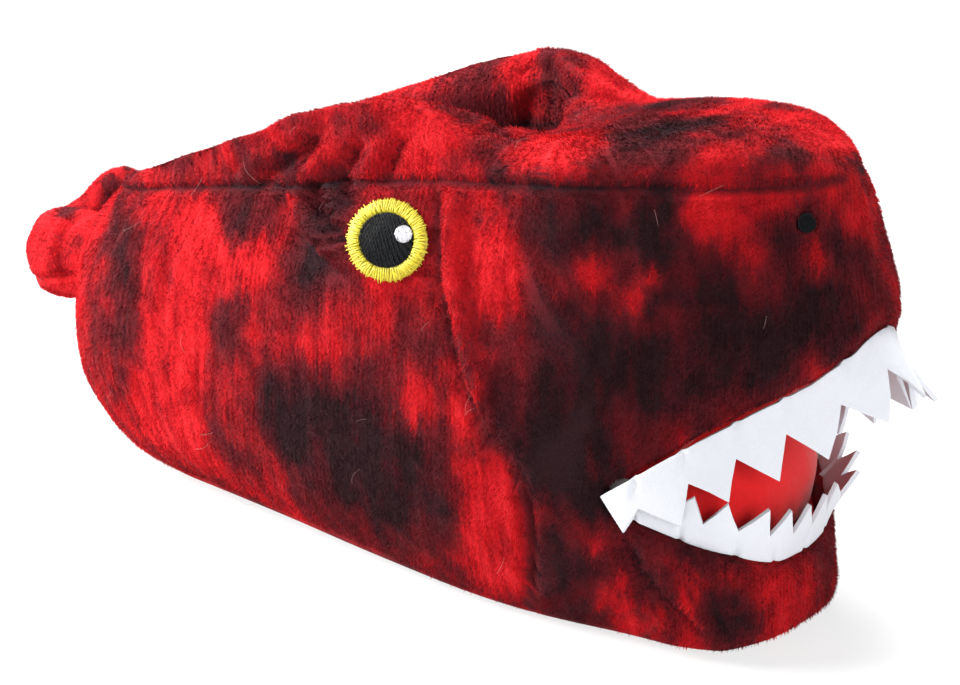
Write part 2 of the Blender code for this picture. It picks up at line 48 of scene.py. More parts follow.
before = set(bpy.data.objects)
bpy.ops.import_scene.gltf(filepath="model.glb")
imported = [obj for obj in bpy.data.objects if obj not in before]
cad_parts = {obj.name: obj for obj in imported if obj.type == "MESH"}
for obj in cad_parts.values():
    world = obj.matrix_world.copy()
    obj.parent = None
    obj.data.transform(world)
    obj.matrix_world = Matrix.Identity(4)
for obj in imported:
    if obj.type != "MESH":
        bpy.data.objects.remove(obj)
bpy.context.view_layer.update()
MM = 0.001
HEEL = Vector((-0.13497, 0.0, 0.0))  # back of the heel, in metres
RIGHT = -1
LEFT = 1
BOTH = 0
SIDE_NAME = {RIGHT: "right", LEFT: "left"}
PILE_MAP = "OFBake"
MAP_DARK = (0.04, 0.96)   # across the pile's map, from clear red to black
MAP_TIP = (0.4, 0.6)      # along it, from a fibre's root to its tip
MAP_SPREAD = 0.003        # half a fibre's width on it

# Seams, folds and rolls of the sides: side of the foot, depth (less than 0) or height, half width, and the
# line that each follows as places along the foot and heights
Fold = namedtuple("Fold", "side rise width line")
SIDE_FOLDS = tuple(Fold(*row) for row in (
    (BOTH, -2.0, 1.5, ((14, 91), (40, 95), (72, 102), (97, 107), (118, 111), (139, 117), (160, 121),
                       (180, 124), (211, 128), (240, 131), (262, 132), (274, 133), (283, 133))),
    (BOTH, -4.6, 2.2, ((175, 125), (177, 118), (180, 108), (182, 100), (186, 93), (190, 83), (199, 62),
                       (209, 50), (216, 40), (216, 22), (212, 4))),
    (BOTH, 3.8, 3.6, ((182, 123), (183, 114), (186, 100), (190, 90), (194, 80), (203, 65))),
    (BOTH, -3.2, 2.2, ((174, 99), (181, 96), (185, 92), (189, 87))),
    (RIGHT, 4.4, 2.5, ((116, 112), (120, 107), (124, 104), (133, 101), (141, 99), (149, 96))),
    (RIGHT, -7.0, 2.8, ((123, 113), (130, 109), (137, 105), (146, 101))),
    (RIGHT, 3.6, 2.0, ((132, 115), (136, 111), (143, 106))),
    (RIGHT, -5.0, 2.6, ((139, 116), (145, 112))),
    (RIGHT, -2.6, 4.6, ((118, 99), (128, 94), (139, 92), (150, 92))),
    (LEFT, 3.8, 2.8, ((114, 113), (121, 107), (131, 102), (144, 97))),
    (LEFT, -5.6, 3.0, ((121, 114), (129, 108), (142, 102))),
    (RIGHT, -1.7, 2.2, ((65, 84), (67, 63), (68, 50), (70, 34), (75, 24))),
    (RIGHT, -1.6, 2.2, ((81, 74), (86, 61), (82, 47), (85, 32))),
    (RIGHT, -1.6, 2.4, ((50, 46), (54, 36), (59, 23))),
    (RIGHT, -1.3, 2.2, ((108, 68), (109, 47), (110, 34))),
    (RIGHT, -1.2, 2.2, ((123, 86), (126, 70), (130, 49))),
    (RIGHT, -1.3, 2.2, ((53, 82), (55, 63))),
    (LEFT, -1.5, 2.4, ((58, 86), (60, 60), (64, 30))),
    (LEFT, -1.4, 2.4, ((84, 80), (83, 55), (88, 30))),
    (LEFT, -1.2, 2.4, ((112, 76), (114, 52), (118, 34))),
    (RIGHT, -4.2, 3.2, ((242, 35), (248, 25), (255, 19), (261, 14), (266, 6))),
    (RIGHT, 1.8, 3.6, ((253, 27), (261, 20), (268, 13), (272, 6))),
    (RIGHT, -3.6, 3.0, ((260, 28), (267, 20), (272, 14), (277, 5))),
    (LEFT, -2.8, 3.2, ((246, 34), (254, 22), (262, 8))),
    (BOTH, -5.0, 3.2, ((100, 109), (108, 114), (114, 118), (120, 122), (130, 128))),
    (BOTH, 3.6, 3.4, ((120, 113), (124, 117), (129, 122), (136, 128))),
    (BOTH, -4.4, 2.5, ((138, 116), (141, 122), (146, 131))),
    (BOTH, 2.8, 3.0, ((148, 120), (151, 125), (154, 131))),
    (BOTH, -3.0, 2.4, ((156, 122), (159, 129), (164, 135))),
    (BOTH, -1.4, 2.2, ((92, 114), (88, 106))),
    (BOTH, -1.2, 2.2, ((252, 66), (247, 74), (243, 83))),
    (BOTH, -1.1, 2.2, ((270, 78), (268, 86), (266, 95))),
))
SEAMS = 2                 # the first of these are sewn seams, where the pile is caught in the stitches
# Folds that gather at the throat, seen from above: places along the foot and across it
THROAT_FOLDS = tuple(Fold(*row) for row in (
    (BOTH, -4.0, 2.4, ((143, 37), (150, 34), (158, 30))),
    (BOTH, -4.2, 2.4, ((152, 37), (166, 27), (178, 24), (190, 24))),
    (BOTH, -3.6, 2.4, ((171, 20), (180, 22), (194, 30))),
    (BOTH, 2.6, 3.2, ((158, 34), (170, 30), (184, 30))),
))
THROAT_LOW = 112.0        # the throat's folds are only above this height
# Creases of the tail's near side
TAIL_FOLDS = tuple(Fold(*row) for row in (
    (RIGHT, -2.6, 1.7, ((-28, 48), (-18, 50), (-9, 53), (0, 55))),
    (RIGHT, -1.8, 2.4, ((-10, 74), (-9, 62), (-6, 52))),
    (RIGHT, -1.2, 1.8, ((-17, 70), (-17, 58))),
))

# Small moves of the sewn pieces
RIM_SAG = (2.6, 0.0, -1.6)    # the back of the rim leans in and down
RIM_BACK = (14.0, 56.0)   # along the foot the lean ends between these places
RIM_HIGH = (70.0, 90.0)   # and it starts between these heights
TAIL_SEWN = 6.0           # depth of the tail's root in the heel's plush
TAIL_ROOT = (-9.0, 1.0)   # the root starts between these places
TAIL_RIDGE = 76.0         # its sewn ridge ends at this height
TAIL_TIP = (20.0, 34.0)   # behind the heel it gets slimmer between these
TAIL_LOBE = (64.0, 70.0)  # and not above these heights
PANEL_TUCK = 0.14         # widening of the mouth panel's rim on the left, where the jaw leans away from it

# Bare cloth: the underside of the wall below a height, and the inside below a height or ahead of a place
UNDER_HEIGHT = 6.0
INSIDE_HEIGHT = 48.0
INSIDE_FRONT = 205.0
INSIDE_REACH = 0.13       # from a face inside, the far wall is met within this, in metres
TO_SQUARE_METRE = 1e6     # square millimetres

# Starts of the random draws
SEW_SEED = {RIGHT: 31, LEFT: 32}
PILE_SEED = 41
STRAY_SEED = 48
TAIL_SEED = 53

# Dyed blotches of the plush: middle, reach, and darkening (less than 0 where the red is clear)
Blotch = namedtuple("Blotch", "x y z reach dark")
BLOTCHES = tuple(Blotch(*row) for row in (
    (41, -38, 76, 10, 1.2), (51, -43, 54, 9, 0.5), (95, -40, 100, 9, 0.8), (138, -46, 111, 10, 0.8),
    (131, -49, 94, 12, 1.1), (98, -48, 66, 10, 0.9), (148, -55, 43, 24, 1.4), (125, -53, 45, 14, 1.0),
    (170, -57, 35, 16, 1.1), (228, -55, 92, 14, 0.7), (228, -57, 65, 17, 1.1), (237, -54, 50, 13, 0.9),
    (221, -48, 121, 13, 1.0), (248, -42, 120, 12, 1.2), (264, -38, 105, 8, 1.2), (253, -44, 103, 5, 0.9),
    (243, -52, 89, 10, 0.9), (258, -45, 80, 13, 1.0), (275, -33, 94, 13, 0.9), (278, -21, 120, 9, 0.9),
    (288, -7, 116, 8, 1.0), (290, -17, 98, 9, 1.0), (282, -24, 103, 9, 0.7), (233, -18, 142, 12, 1.2),
    (271, -16, 140, 7, 1.0), (281, 4, 135, 6, 0.8), (155, 35, 140, 13, 0.8), (125, 36, 131, 12, 0.2),
    (114, -38, 114, 7, 1.1), (199, -45, 127, 4, 0.8), (244, -52, 27, 7, 0.8), (255, -49, 20, 8, 1.0),
    (271, -42, 16, 7, 0.9), (276, -35, 10, 6, 0.8), (224, -52, 12, 12, 0.9), (263, -46, 32, 8, 0.7),
    (220, -58, 50, 12, 1.0), (137, 35, 121, 10, 0.3), (230, -54, 24, 10, 0.7), (81, -42, 85, 14, -1.0),
    (73, -46, 56, 16, -1.0), (68, -44, 28, 16, -1.0), (104, -45, 87, 10, -0.8), (195, -52, 108, 12, -1.1),
    (205, -55, 96, 9, -1.0), (231, -50, 109, 8, -1.0), (248, -46, 106, 6, -1.0), (204, -59, 44, 12, -1.2),
    (205, -56, 19, 13, -1.2), (193, -59, 62, 9, -1.0), (259, -33, 126, 8, -1.0),
    (211, -37, 136, 14, -0.9), (257, -26, 141, 9, -0.9), (269, 6, 142, 12, -0.9),
    (168, -44, 134, 12, -0.9), (284, -17, 114, 6, -0.9), (141, -54, 71, 10, -0.9),
    (178, -58, 62, 8, -0.7), (238, -53, 31, 7, -0.9), (282, -18, 11, 10, -0.7), (-21, 30, 72, 7, 1.4),
    (-24, 12, 69, 7, 0.9), (-17, 1, 71, 5, 0.9), (262, -45, 24, 9, -0.9), (281, -24, 20, 9, -0.8),
    (247, -50, 12, 9, -0.8), (60, 38, 104, 18, -0.5), (95, 38, 116, 16, -0.4),
))
FAR_SHIFT = 21.0          # the dye of the far side is the near side's moved along the foot
# The dye changes between these: below the rim, at the instep and snout, and to the far side; past the heel
# fades the painted light that makes the heel and tail lighter
RIM_BAND = (116.0, 130.0)
HEEL_BAND = (30.0, 95.0)
INSTEP_BAND = (90.0, 130.0)
SNOUT_BAND = (225.0, 250.0)
MIDDLE_BAND = (-8.0, 8.0)

# Lips seen from the side, as places along the foot and heights, and the pleats that gather the felt
# where it is sewn to them, as ways around the snout from its middle
UPPER_LIP = ((238, 46.5), (262, 64.5), (284, 79.5), (290.5, 86.5), (296, 95.5))
LOWER_LIP = ((238, 46.5), (245, 38.5), (257, 35), (271, 30), (281, 22.5))
PLEATS = (-75, -60, -43, -29, -13, 3, 18, 34, 47, 62, 77)
SNOUT_TURN = 215.0        # the ways around the snout turn about this place
SNOUT_REACH = 75.0        # and are measured on a round of this size

# Sewn eye: middle on the side of the head, turn towards the toe and upward in degrees, width over height
EYE_PLACE = (158.9, 45.0, 103.0)
EYE_TURN = 24.0
EYE_TILT = 16.0
EYE_WIDE = 1.13
GLINT_PLACE = (5.6, 2.1)
NOSTRIL_PLACE = (280.0, 17.5, 123.0)
NOSTRIL_OUT = (0.74, 0.59, 0.33)
PATCH_START = 0.04        # the head under the embroidery is felt for from this far off, in metres
PATCH_REACH = 0.07

# Studio: what camera and lights are aimed at; each light's place from there and size, in metres
AIM = (158.0, 0.0, 65.8)
LIGHTS = (
    ("key", (-0.52, -0.26, 0.27), 0.5),
    ("top", (-0.25, 0.36, 1.22), 1.0),
    ("front", (1.10, -0.70, 0.34), 0.8),
)
SENSOR = 36.0             # width in millimetres
SHIFT = (-5.6 / 960, -18.8 / 960)  # of the lens, in shares of the picture's width
FLOOR_RADIUS = 14.0       # in metres
FLOOR_GREY = (0.26, 0.26, 0.26)
WHITE = (1.0, 1.0, 1.0)
BLACK = (0.0, 0.0, 0.0)
SHEEN_PINK = (1.0, 0.50, 0.55)


def length_property(name, description, default):
    return FloatProperty(name=name, description=description, default=default, unit="LENGTH")


def colour_property(name, description, default):
    return FloatVectorProperty(name=name, description=description, default=default, subtype="COLOR")


class PlushSettings(bpy.types.PropertyGroup):
    """Sizes and colours of the pile."""
    length: length_property("Pile length", "Length of a pile fibre", 0.0019)
    width: length_property("Fibre width", "Width of a tuft of fibres at its root", 0.00030)
    dense: FloatProperty(name="Density", description="Tufts on each square millimetre", default=6.6)
    rib: length_property("Rib pitch", "Distance between the knitted ribs of the plush", 0.0017)
    parting: length_property("Partings", "Distance between the lines where the pile parts", 0.0088)
    strays: FloatProperty(name="Loose fibres", description="Loose fibres on each ten square centimetres",
                          default=0.6)
    stray: colour_property("Loose fibre", "Colour of the loose fibres", (0.34, 0.17, 0.17))
    clear_red: colour_property("Clear red", "Brightest red of the dye", (0.82, 0.0290, 0.0370))
    red: colour_property("Red", "Main red of the dye", (0.50, 0.0085, 0.0125))
    maroon: colour_property("Maroon", "Where red and black dyes run together", (0.130, 0.0085, 0.0120))
    black: colour_property("Black", "Darkest dye", (0.0190, 0.0075, 0.0095))


class EyeSettings(bpy.types.PropertyGroup):
    """Sizes and colours of the embroidery."""
    ring: length_property("Ring radius", "Outer radius of the yellow ring", 0.0118)
    pupil: length_property("Pupil radius", "Radius of the black pupil", 0.0080)
    glint: length_property("Glint radius", "Radius of the white glint", 0.0025)
    nostril: length_property("Nostril radius", "Radius of a nostril", 0.0027)
    thread: length_property("Thread", "Width of a thread", 0.00046)
    yellow: colour_property("Yellow", "Thread of the ring", (0.66, 0.55, 0.030))
    black: colour_property("Black", "Thread of pupil and nostrils", (0.0030, 0.0034, 0.0045))
    white: colour_property("White", "Thread of the glint", (0.60, 0.60, 0.64))


class FeltSettings(bpy.types.PropertyGroup):
    """Colours of felt, sole and foot bed."""
    white: colour_property("White felt", "Felt of the teeth", (0.57, 0.58, 0.62))
    red: colour_property("Red felt", "Panel inside the mouth", (0.62, 0.010, 0.012))
    sole: colour_property("Sole", "Cloth under the foot", (0.040, 0.042, 0.050))
    lining: colour_property("Lining", "Cloth of the foot bed", (0.045, 0.030, 0.034))
    pleat: length_property("Pleats", "Height of the pleats where the felt is sewn in", 0.0009)


class StageSettings(bpy.types.PropertyGroup):
    """Camera and light."""
    azimuth: FloatProperty(name="Azimuth", description="Camera's turn round the slipper", subtype="ANGLE",
                           default=radians(37.0))
    elevation: FloatProperty(name="Elevation", description="Camera's height over the horizon",
                             subtype="ANGLE", default=radians(18.1))
    distance: length_property("Distance", "Camera to the slipper's middle", 0.9165)
    lens: FloatProperty(name="Lens", description="Focal length on a 36 mm sensor", default=113.55)
    key: FloatProperty(name="Key light", description="Power of the soft light near the heel", default=16.0)
    top: FloatProperty(name="Top light", description="Power of the light above and behind", default=46.0)
    front: FloatProperty(name="Front light", description="Power of the light at the toe", default=15.0)
    fill: FloatProperty(name="Fill light", description="Brightness of the room", default=0.20)
    table: FloatProperty(name="Table light", description="Glow of the pale table", default=0.72)


class SlipperSettings(bpy.types.PropertyGroup):
    """All that a user would change."""
    plush: PointerProperty(type=PlushSettings, name="Plush", description="The pile")
    eye: PointerProperty(type=EyeSettings, name="Embroidery", description="Eyes and nostrils")
    felt: PointerProperty(type=FeltSettings, name="Felt", description="Teeth, mouth and sole")
    stage: PointerProperty(type=StageSettings, name="Stage", description="Camera and light")


# Numbers over points

def fade(value, low, high):
    """0 below low, 1 above high, smooth between them."""
    share = np.clip((value - low) / (high - low), 0.0, 1.0)
    return share * share * (3 - 2 * share)


def unit(vectors):
    """Vectors brought to a length of 1."""
    return vectors / np.maximum(np.linalg.norm(vectors, axis=-1, keepdims=True), 1e-6)


def scatter(cells, seed):
    """An even random number from 0 to 1 for each whole-numbered cell."""
    mixed = cells[..., 0] * 73856093 ^ cells[..., 1] * 19349663 ^ cells[..., 2] * 83492791
    mixed = mixed ^ seed * 2654435761
    mixed = (mixed ^ (mixed >> 13)) * 1274126177 & 0xFFFFFFFF
    return ((mixed ^ (mixed >> 16)) & 0xFFFF) / 65535.0


def lumps(points, size, seed):
    """Soft noise from -1 to 1 with lumps of a size."""
    spread = points / size + 7.31 * seed
    cells = np.floor(spread).astype(np.int64)
    share = spread - cells
    share = share * share * (3 - 2 * share)
    total = np.zeros(len(points))
    for corner in np.ndindex(2, 2, 2):
        weight = np.prod(np.where(corner, share, 1 - share), axis=1)
        total += weight * scatter(cells + np.array(corner), seed)
    return 2 * total - 1


def from_heel(points):
    """Points of the frame in millimetres from the heel's back."""
    return (points - np.array(HEEL)) / MM


def line_distance(flat, line):
    """Distance of points in a plane from a line through corners, and how far along it they are."""
    line = np.array(line, dtype=float)
    runs = np.linalg.norm(np.diff(line, axis=0), axis=1)
    before = np.concatenate([[0.0], np.cumsum(runs)])
    best = np.full(len(flat), np.inf)
    share = np.zeros(len(flat))
    for index, run in enumerate(runs):
        way = (line[index + 1] - line[index]) / run
        along = np.clip((flat - line[index]) @ way, 0.0, run)
        gap = np.linalg.norm(flat - line[index] - along[:, None] * way, axis=1)
        nearer = gap < best
        best = np.where(nearer, gap, best)
        share = np.where(nearer, (before[index] + along) / before[-1], share)
    return best, share


def fold_shape(fold, gap, share):
    """A soft trough or roll with shoulders, fading out at both ends."""
    ends = fade(share, 0.0, 0.10) * (1 - fade(share, 0.90, 1.0)) * 0.9 + 0.1
    near = np.exp(-(gap / fold.width) ** 2)
    wide = np.exp(-(gap / (2.3 * fold.width)) ** 2)
    return fold.rise * (near - 0.35 * wide) * ends


def fold_rise(points, normals):
    """Height of all seams and folds of upper and tail over their plain form, in millimetres."""
    place = from_heel(points)
    rise = np.zeros(len(points))
    for fold in (*SIDE_FOLDS, *TAIL_FOLDS):
        gap, share = line_distance(place[:, [0, 2]], fold.line)
        for side in (RIGHT, LEFT):
            if fold.side in (side, BOTH):
                facing = fade(normals[:, 1] * side, 0.0, 0.3) * (place[:, 1] * side > 0)
                rise += fold_shape(fold, gap, share) * facing
    for fold in THROAT_FOLDS:
        flat = np.stack([place[:, 0], np.abs(place[:, 1])], axis=1)
        gap, share = line_distance(flat, fold.line)
        rise += fold_shape(fold, gap, share) * fade(place[:, 2], THROAT_LOW, THROAT_LOW + 6)
    return rise


def sewn_line(points, normals, width):
    """1 on the sewn seams, fading to 0 within a width in millimetres."""
    place = from_heel(points)
    best = np.full(len(points), np.inf)
    for fold in SIDE_FOLDS[:SEAMS]:
        best = np.minimum(best, line_distance(place[:, [0, 2]], fold.line)[0])
    return np.exp(-(best / width) ** 2) * fade(np.abs(normals[:, 1]), 0.1, 0.3)


def dye(points):
    """How dark the plush is at each point, from 0 for clear red to 1 for black: its dye, with painted light
    that makes the heel and tail lighter.
    """
    place = from_heel(points)
    lower = 1 - fade(place[:, 2], *RIM_BAND)
    heel = 1 - fade(place[:, 0], *HEEL_BAND)
    # painted light: the heel and tail are made lighter where the strong light falls on them
    shade = 0.37 + 0.13 * lumps(points, 0.034, 3) + 0.15 * lumps(points, 0.014, 4) - 0.13 * heel
    shade += (0.05 * fade(place[:, 0], *INSTEP_BAND) + 0.06 * fade(place[:, 0], *SNOUT_BAND)) * lower
    far = fade(place[:, 1], *MIDDLE_BAND)
    weave = np.stack([lumps(points, 0.012, seed) + 0.6 * lumps(points, 0.005, seed) for seed in (6, 7, 8)],
                     axis=1)
    combed = lumps(points * np.array([9.0, 9.0, 1.0]), 0.013, 15)
    place = place + 4.2 * weave + combed[:, None] * np.array([0.0, 0.0, 4.5])
    for spot in BLOTCHES:
        middle = np.array([spot.x, spot.y, spot.z], dtype=float)
        near = np.exp(-(((place - middle) ** 2).sum(axis=1) / spot.reach ** 2) ** 1.2)
        if spot.y > 0:
            shade += 0.45 * spot.dark * near
        else:
            turned = place * np.array([1.0, -1.0, 1.0]) + np.array([FAR_SHIFT, 0.0, 0.0])
            across = np.exp(-(((turned - middle) ** 2).sum(axis=1) / spot.reach ** 2) ** 1.2)
            shade += 0.45 * spot.dark * (near * (1 - far) + across * far)
    # painted light: the darkest shade is kept lighter towards the heel and tail, and a little lighter above
    # the rim
    low = 0.23 - 0.14 * heel - 0.06 * (1 - lower)
    shade = low + (0.95 - low) * fade(shade, low - 0.22, 1.06)
    shade += 0.13 * lumps(points, 0.0070, 5) + 0.06 * lumps(points, 0.0030, 16)
    streak = points * np.array([4.0, 4.0, 1.0])
    shade += 0.09 * lumps(streak, 0.009, 9) + 0.07 * lumps(streak, 0.021, 10)
    return np.clip(shade, 0.0, 1.0)


# Meshes

def read_mesh(mesh):
    """Places and normals of a mesh's vertices, and its triangles."""
    points = np.empty(len(mesh.vertices) * 3, dtype=np.float32)
    mesh.vertices.foreach_get("co", points)
    normals = np.empty(len(mesh.vertices) * 3, dtype=np.float32)
    mesh.vertices.foreach_get("normal", normals)
    mesh.calc_loop_triangles()
    corners = np.empty(len(mesh.loop_triangles) * 3, dtype=np.int32)
    mesh.loop_triangles.foreach_get("vertices", corners)
    return points.reshape(-1, 3).astype(float), normals.reshape(-1, 3).astype(float), corners.reshape(-1, 3)


def write_points(mesh, points):
    mesh.vertices.foreach_set("co", points.astype(np.float32).ravel())
    mesh.update()


def node_copy(name):
    """A bmesh of one of the frame's nodes, its loose triangles merged to quads."""
    build = bmesh.new()
    build.from_mesh(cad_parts[name].data)
    bmesh.ops.remove_doubles(build, verts=build.verts, dist=0.01 * MM)
    bmesh.ops.join_triangles(build, faces=build.faces, angle_face_threshold=radians(50),
                             angle_shape_threshold=radians(60))
    return build


def in_box(points, low, high):
    """Points as shares of a box, from -1 to 1, and the box's middle."""
    middle = np.array((low + high) / 2)
    return (points - middle) / np.array((high - low) / 2), middle


def new_piece(mesh, name, material, nodes=()):
    """A piece of the slipper that rides on the frame and stands for the named nodes."""
    piece = bpy.data.objects.new(name, mesh)
    bpy.context.scene.collection.objects.link(piece)
    mesh.materials.clear()
    mesh.materials.append(material)
    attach(piece, "root")
    if nodes:
        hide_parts(*nodes)
    return piece


def to_mesh(build, name, smooth=True):
    mesh = bpy.data.meshes.new(name)
    build.to_mesh(mesh)
    build.free()
    mesh.polygons.foreach_set("use_smooth", [smooth] * len(mesh.polygons))
    mesh.update()
    return mesh


def fine_mesh(node, name):
    """A mesh of a node with each edge cut in four."""
    build = node_copy(node)
    bmesh.ops.subdivide_edges(build, edges=build.edges, cuts=3, use_grid_fill=True)
    return to_mesh(build, name)


def soft_mesh(node, name):
    """A mesh of a node with its cage subdivided smoothly."""
    mesh = to_mesh(node_copy(node), name)
    cage = bpy.data.objects.new(name, mesh)
    bpy.context.scene.collection.objects.link(cage)
    soft = cage.modifiers.new("soft", "SUBSURF")
    soft.levels = soft.render_levels = 2
    graph = bpy.context.evaluated_depsgraph_get()
    done = bpy.data.meshes.new_from_object(cage.evaluated_get(graph))
    done.name = name
    bpy.data.objects.remove(cage)
    bpy.data.meshes.remove(mesh)
    done.polygons.foreach_set("use_smooth", [True] * len(done.polygons))
    return done


def round_edges(piece, name, width, angle):
    edge = piece.modifiers.new(name, "BEVEL")
    edge.width = width
    edge.segments = 2
    edge.limit_method = "ANGLE"
    edge.angle_limit = angle


def set_attribute(mesh, name, values):
    layer = mesh.attributes.new(name, "FLOAT", "POINT")
    layer.data.foreach_set("value", values.astype(np.float32))


def mesh_from_arrays(name, points, faces):
    """A mesh of many like small pieces, from arrays of points and of faces with the same corner count."""
    mesh = bpy.data.meshes.new(name)
    corners = faces.shape[1]
    mesh.vertices.add(len(points))
    mesh.vertices.foreach_set("co", points.astype(np.float32).ravel())
    mesh.loops.add(faces.size)
    mesh.loops.foreach_set("vertex_index", faces.astype(np.int32).ravel())
    mesh.polygons.add(len(faces))
    mesh.polygons.foreach_set("loop_start", np.arange(len(faces), dtype=np.int32) * corners)
    mesh.update(calc_edges=True)
    return mesh


# Pile

def strewn(points, normals, corners, dense, rng, depth=None):
    """Random places on triangles, so many to a square metre, with normals and the depth of folds there."""
    a, b, c = (points[corners[:, index]] for index in range(3))
    areas = np.linalg.norm(np.cross(b - a, c - a), axis=1) / 2
    total = np.cumsum(areas)
    if len(total) == 0:
        return np.zeros((0, 3)), np.zeros((0, 3)), np.zeros(0)
    chosen = np.searchsorted(total, rng.random(int(total[-1] * dense)) * total[-1])
    chosen = np.minimum(chosen, len(total) - 1)
    away = np.sqrt(rng.random(len(chosen)))[:, None]
    turn = rng.random(len(chosen))[:, None]
    weights = (1 - away, away * (1 - turn), away * turn)
    picked = corners[chosen]
    spot = sum(weight * points[picked[:, index]] for index, weight in enumerate(weights))
    out = sum(weight * normals[picked[:, index]] for index, weight in enumerate(weights))
    deep = np.zeros(len(spot))
    if depth is not None:
        deep = sum(weight[:, 0] * depth[picked[:, index]] for index, weight in enumerate(weights))
    return spot, unit(out), deep


def ribbed(points, normals, pitch, parting):
    """Points drawn together along the knitted ribs, how deep in a gap each is, and how near a parting."""
    place = from_heel(points)
    turn = 1 - fade(place[:, 0], 20.0, 110.0) - fade(place[:, 0], 190.0, 270.0)
    count = (place[:, 0] + turn * np.abs(place[:, 1])) * MM / pitch
    count = count + 0.35 * lumps(points, 0.02, 11)
    level = unit(np.cross(np.array([0.0, 0.0, 1.0]), normals))
    slope = level[:, 0] + turn * np.sign(place[:, 1]) * level[:, 1]
    phase = 2 * pi * (count - np.floor(count))
    shift = 0.5 * pitch / (2 * pi) * np.sin(phase) * np.sign(slope) * fade(np.abs(slope), 0.2, 0.5)
    far = (count + 0.8 * lumps(points, 0.03, 14)) * pitch / parting
    away = np.abs(far - np.round(far)) * parting
    line = np.exp(-(away / (0.42 * MM)) ** 2) * fade(lumps(points, 0.020, 13), -0.45, 0.25)
    return points + level * shift[:, None], 0.25 + 0.25 * np.cos(phase), line


def lay_pile(name, points, normals, deep, settings, rng, material, length=1.0):
    """Tapering tufts of fibres that lean with the nap, one triangle each, coloured with dye and painted
    shade.
    """
    points, gap, line = ribbed(points, normals, settings.rib, settings.parting)
    place = from_heel(points)
    flow = np.full(points.shape, (-0.10, 0.0, -1.0))
    flow[:, 1] = 0.30 * np.tanh(place[:, 1] / 14.0)
    flow += 0.42 * np.stack([lumps(points, 0.0030, seed) for seed in (21, 22, 23)], axis=1)
    flow += 0.30 * np.stack([lumps(points, 0.0120, seed) for seed in (26, 27, 28)], axis=1)
    flow += 0.28 * rng.normal(size=flow.shape)
    flow = unit(flow - normals * (flow * normals).sum(axis=1, keepdims=True))
    lift = np.clip(0.50 + 0.17 * rng.normal(size=len(points)) + 0.16 * lumps(points, 0.004, 24), 0.15, 0.92)
    way = flow * np.sqrt(1 - lift ** 2)[:, None] + normals * lift[:, None]
    across = unit(np.cross(way, normals))
    roll = 0.55 * rng.normal(size=len(points))
    across = across * np.cos(roll)[:, None] + np.cross(way, across) * np.sin(roll)[:, None]
    uneven = 0.72 + 0.5 * rng.random(len(points)) + 0.14 * lumps(points, 0.008, 25)
    size = settings.length * length * uneven
    seam = sewn_line(points, normals, 0.65)
    size *= (1 - 0.65 * line) * (1 - 0.35 * seam) * (1 - 0.3 * fade(deep, 0.2, 1.6)) * (1 - 0.5 * gap)
    root = points - normals * 0.25 * MM
    tip = root + way * size[:, None]
    tip[:, 2] = np.maximum(tip[:, 2], 0.4 * MM)
    half = across * settings.width * (0.7 + 0.6 * rng.random(len(points)))[:, None] / 2
    verts = np.stack([root - half, root + half, tip], axis=1).reshape(-1, 3)
    mesh = mesh_from_arrays(name, verts, np.arange(len(verts)).reshape(-1, 3))
    # painted shade: darker in the gaps between the ribs, at the partings and along the sewn seams
    dark = dye(points) + 0.20 * gap + np.maximum(0.36 * line, 0.42 * seam)
    dark += 0.05 * rng.normal(size=len(points))
    # painted shade in the troughs of the folds, and painted light on their rolls
    dark += 0.34 * fade(deep, 0.4, 2.8) - 0.14 * fade(-deep, 0.4, 2.8)
    shade = MAP_DARK[0] + (MAP_DARK[1] - MAP_DARK[0]) * np.clip(dark, 0.0, 1.0)
    u = np.stack([shade - MAP_SPREAD, shade + MAP_SPREAD, shade], axis=1)
    v = np.broadcast_to(np.array([MAP_TIP[0], MAP_TIP[0], MAP_TIP[1]]), u.shape)
    layer = mesh.uv_layers.new(name=PILE_MAP)
    layer.uv.foreach_set("vector", np.stack([u, v], axis=-1).astype(np.float32).ravel())
    new_piece(mesh, name, material)


# Materials

def new_group(name, inputs, outputs):
    """A shader node group with named sockets: its tree, input node and output node."""
    tree = bpy.data.node_groups.new(name, "ShaderNodeTree")
    for label, kind, value in inputs:
        socket = tree.interface.new_socket(label, in_out="INPUT", socket_type=kind)
        socket.default_value = value
    for label, kind in outputs:
        tree.interface.new_socket(label, in_out="OUTPUT", socket_type=kind)
    return tree, tree.nodes.new("NodeGroupInput"), tree.nodes.new("NodeGroupOutput")


def feed(tree, sockets, values):
    """Link each socket to a value that is a socket too, or else set it."""
    for socket, value in zip(sockets, values):
        if isinstance(value, bpy.types.NodeSocket):
            tree.links.new(value, socket)
        else:
            socket.default_value = value


def wire(tree, node, **values):
    """Link or set a node's inputs by name, with _ for a space."""
    feed(tree, [node.inputs[name.replace("_", " ")] for name in values], values.values())


def add(tree, kind, **values):
    """A node with its settings and what its inputs are fed, by name."""
    node = tree.nodes.new(kind)
    for name, value in values.items():
        if hasattr(node, name):
            setattr(node, name, value)
        else:
            wire(tree, node, **{name: value})
    return node


def rgba(colour, bright=1.0):
    """A colour made brighter or darker, with no see-through."""
    return (*(bright * value for value in colour), 1.0)


def noise(tree, where, scale, detail=3.0, rough=0.55):
    node = add(tree, "ShaderNodeTexNoise", Vector=where, Scale=scale, Detail=detail, Roughness=rough)
    return node.outputs["Fac"]


def mix(tree, kind, factor, first, second):
    """A mix of two colours."""
    node = add(tree, "ShaderNodeMix", data_type="RGBA", blend_type=kind)
    feed(tree, (node.inputs[0], node.inputs[6], node.inputs[7]), (factor, first, second))
    return node.outputs[2]


def maths(tree, kind, first, second):
    node = add(tree, "ShaderNodeMath", operation=kind)
    feed(tree, node.inputs, (first, second))
    return node.outputs[0]


def remap(tree, value, low, high, to_low, to_high):
    """A value moved from one range to another and kept within it."""
    node = add(tree, "ShaderNodeMapRange")
    feed(tree, node.inputs, (value, low, high, to_low, to_high))
    return node.outputs[0]


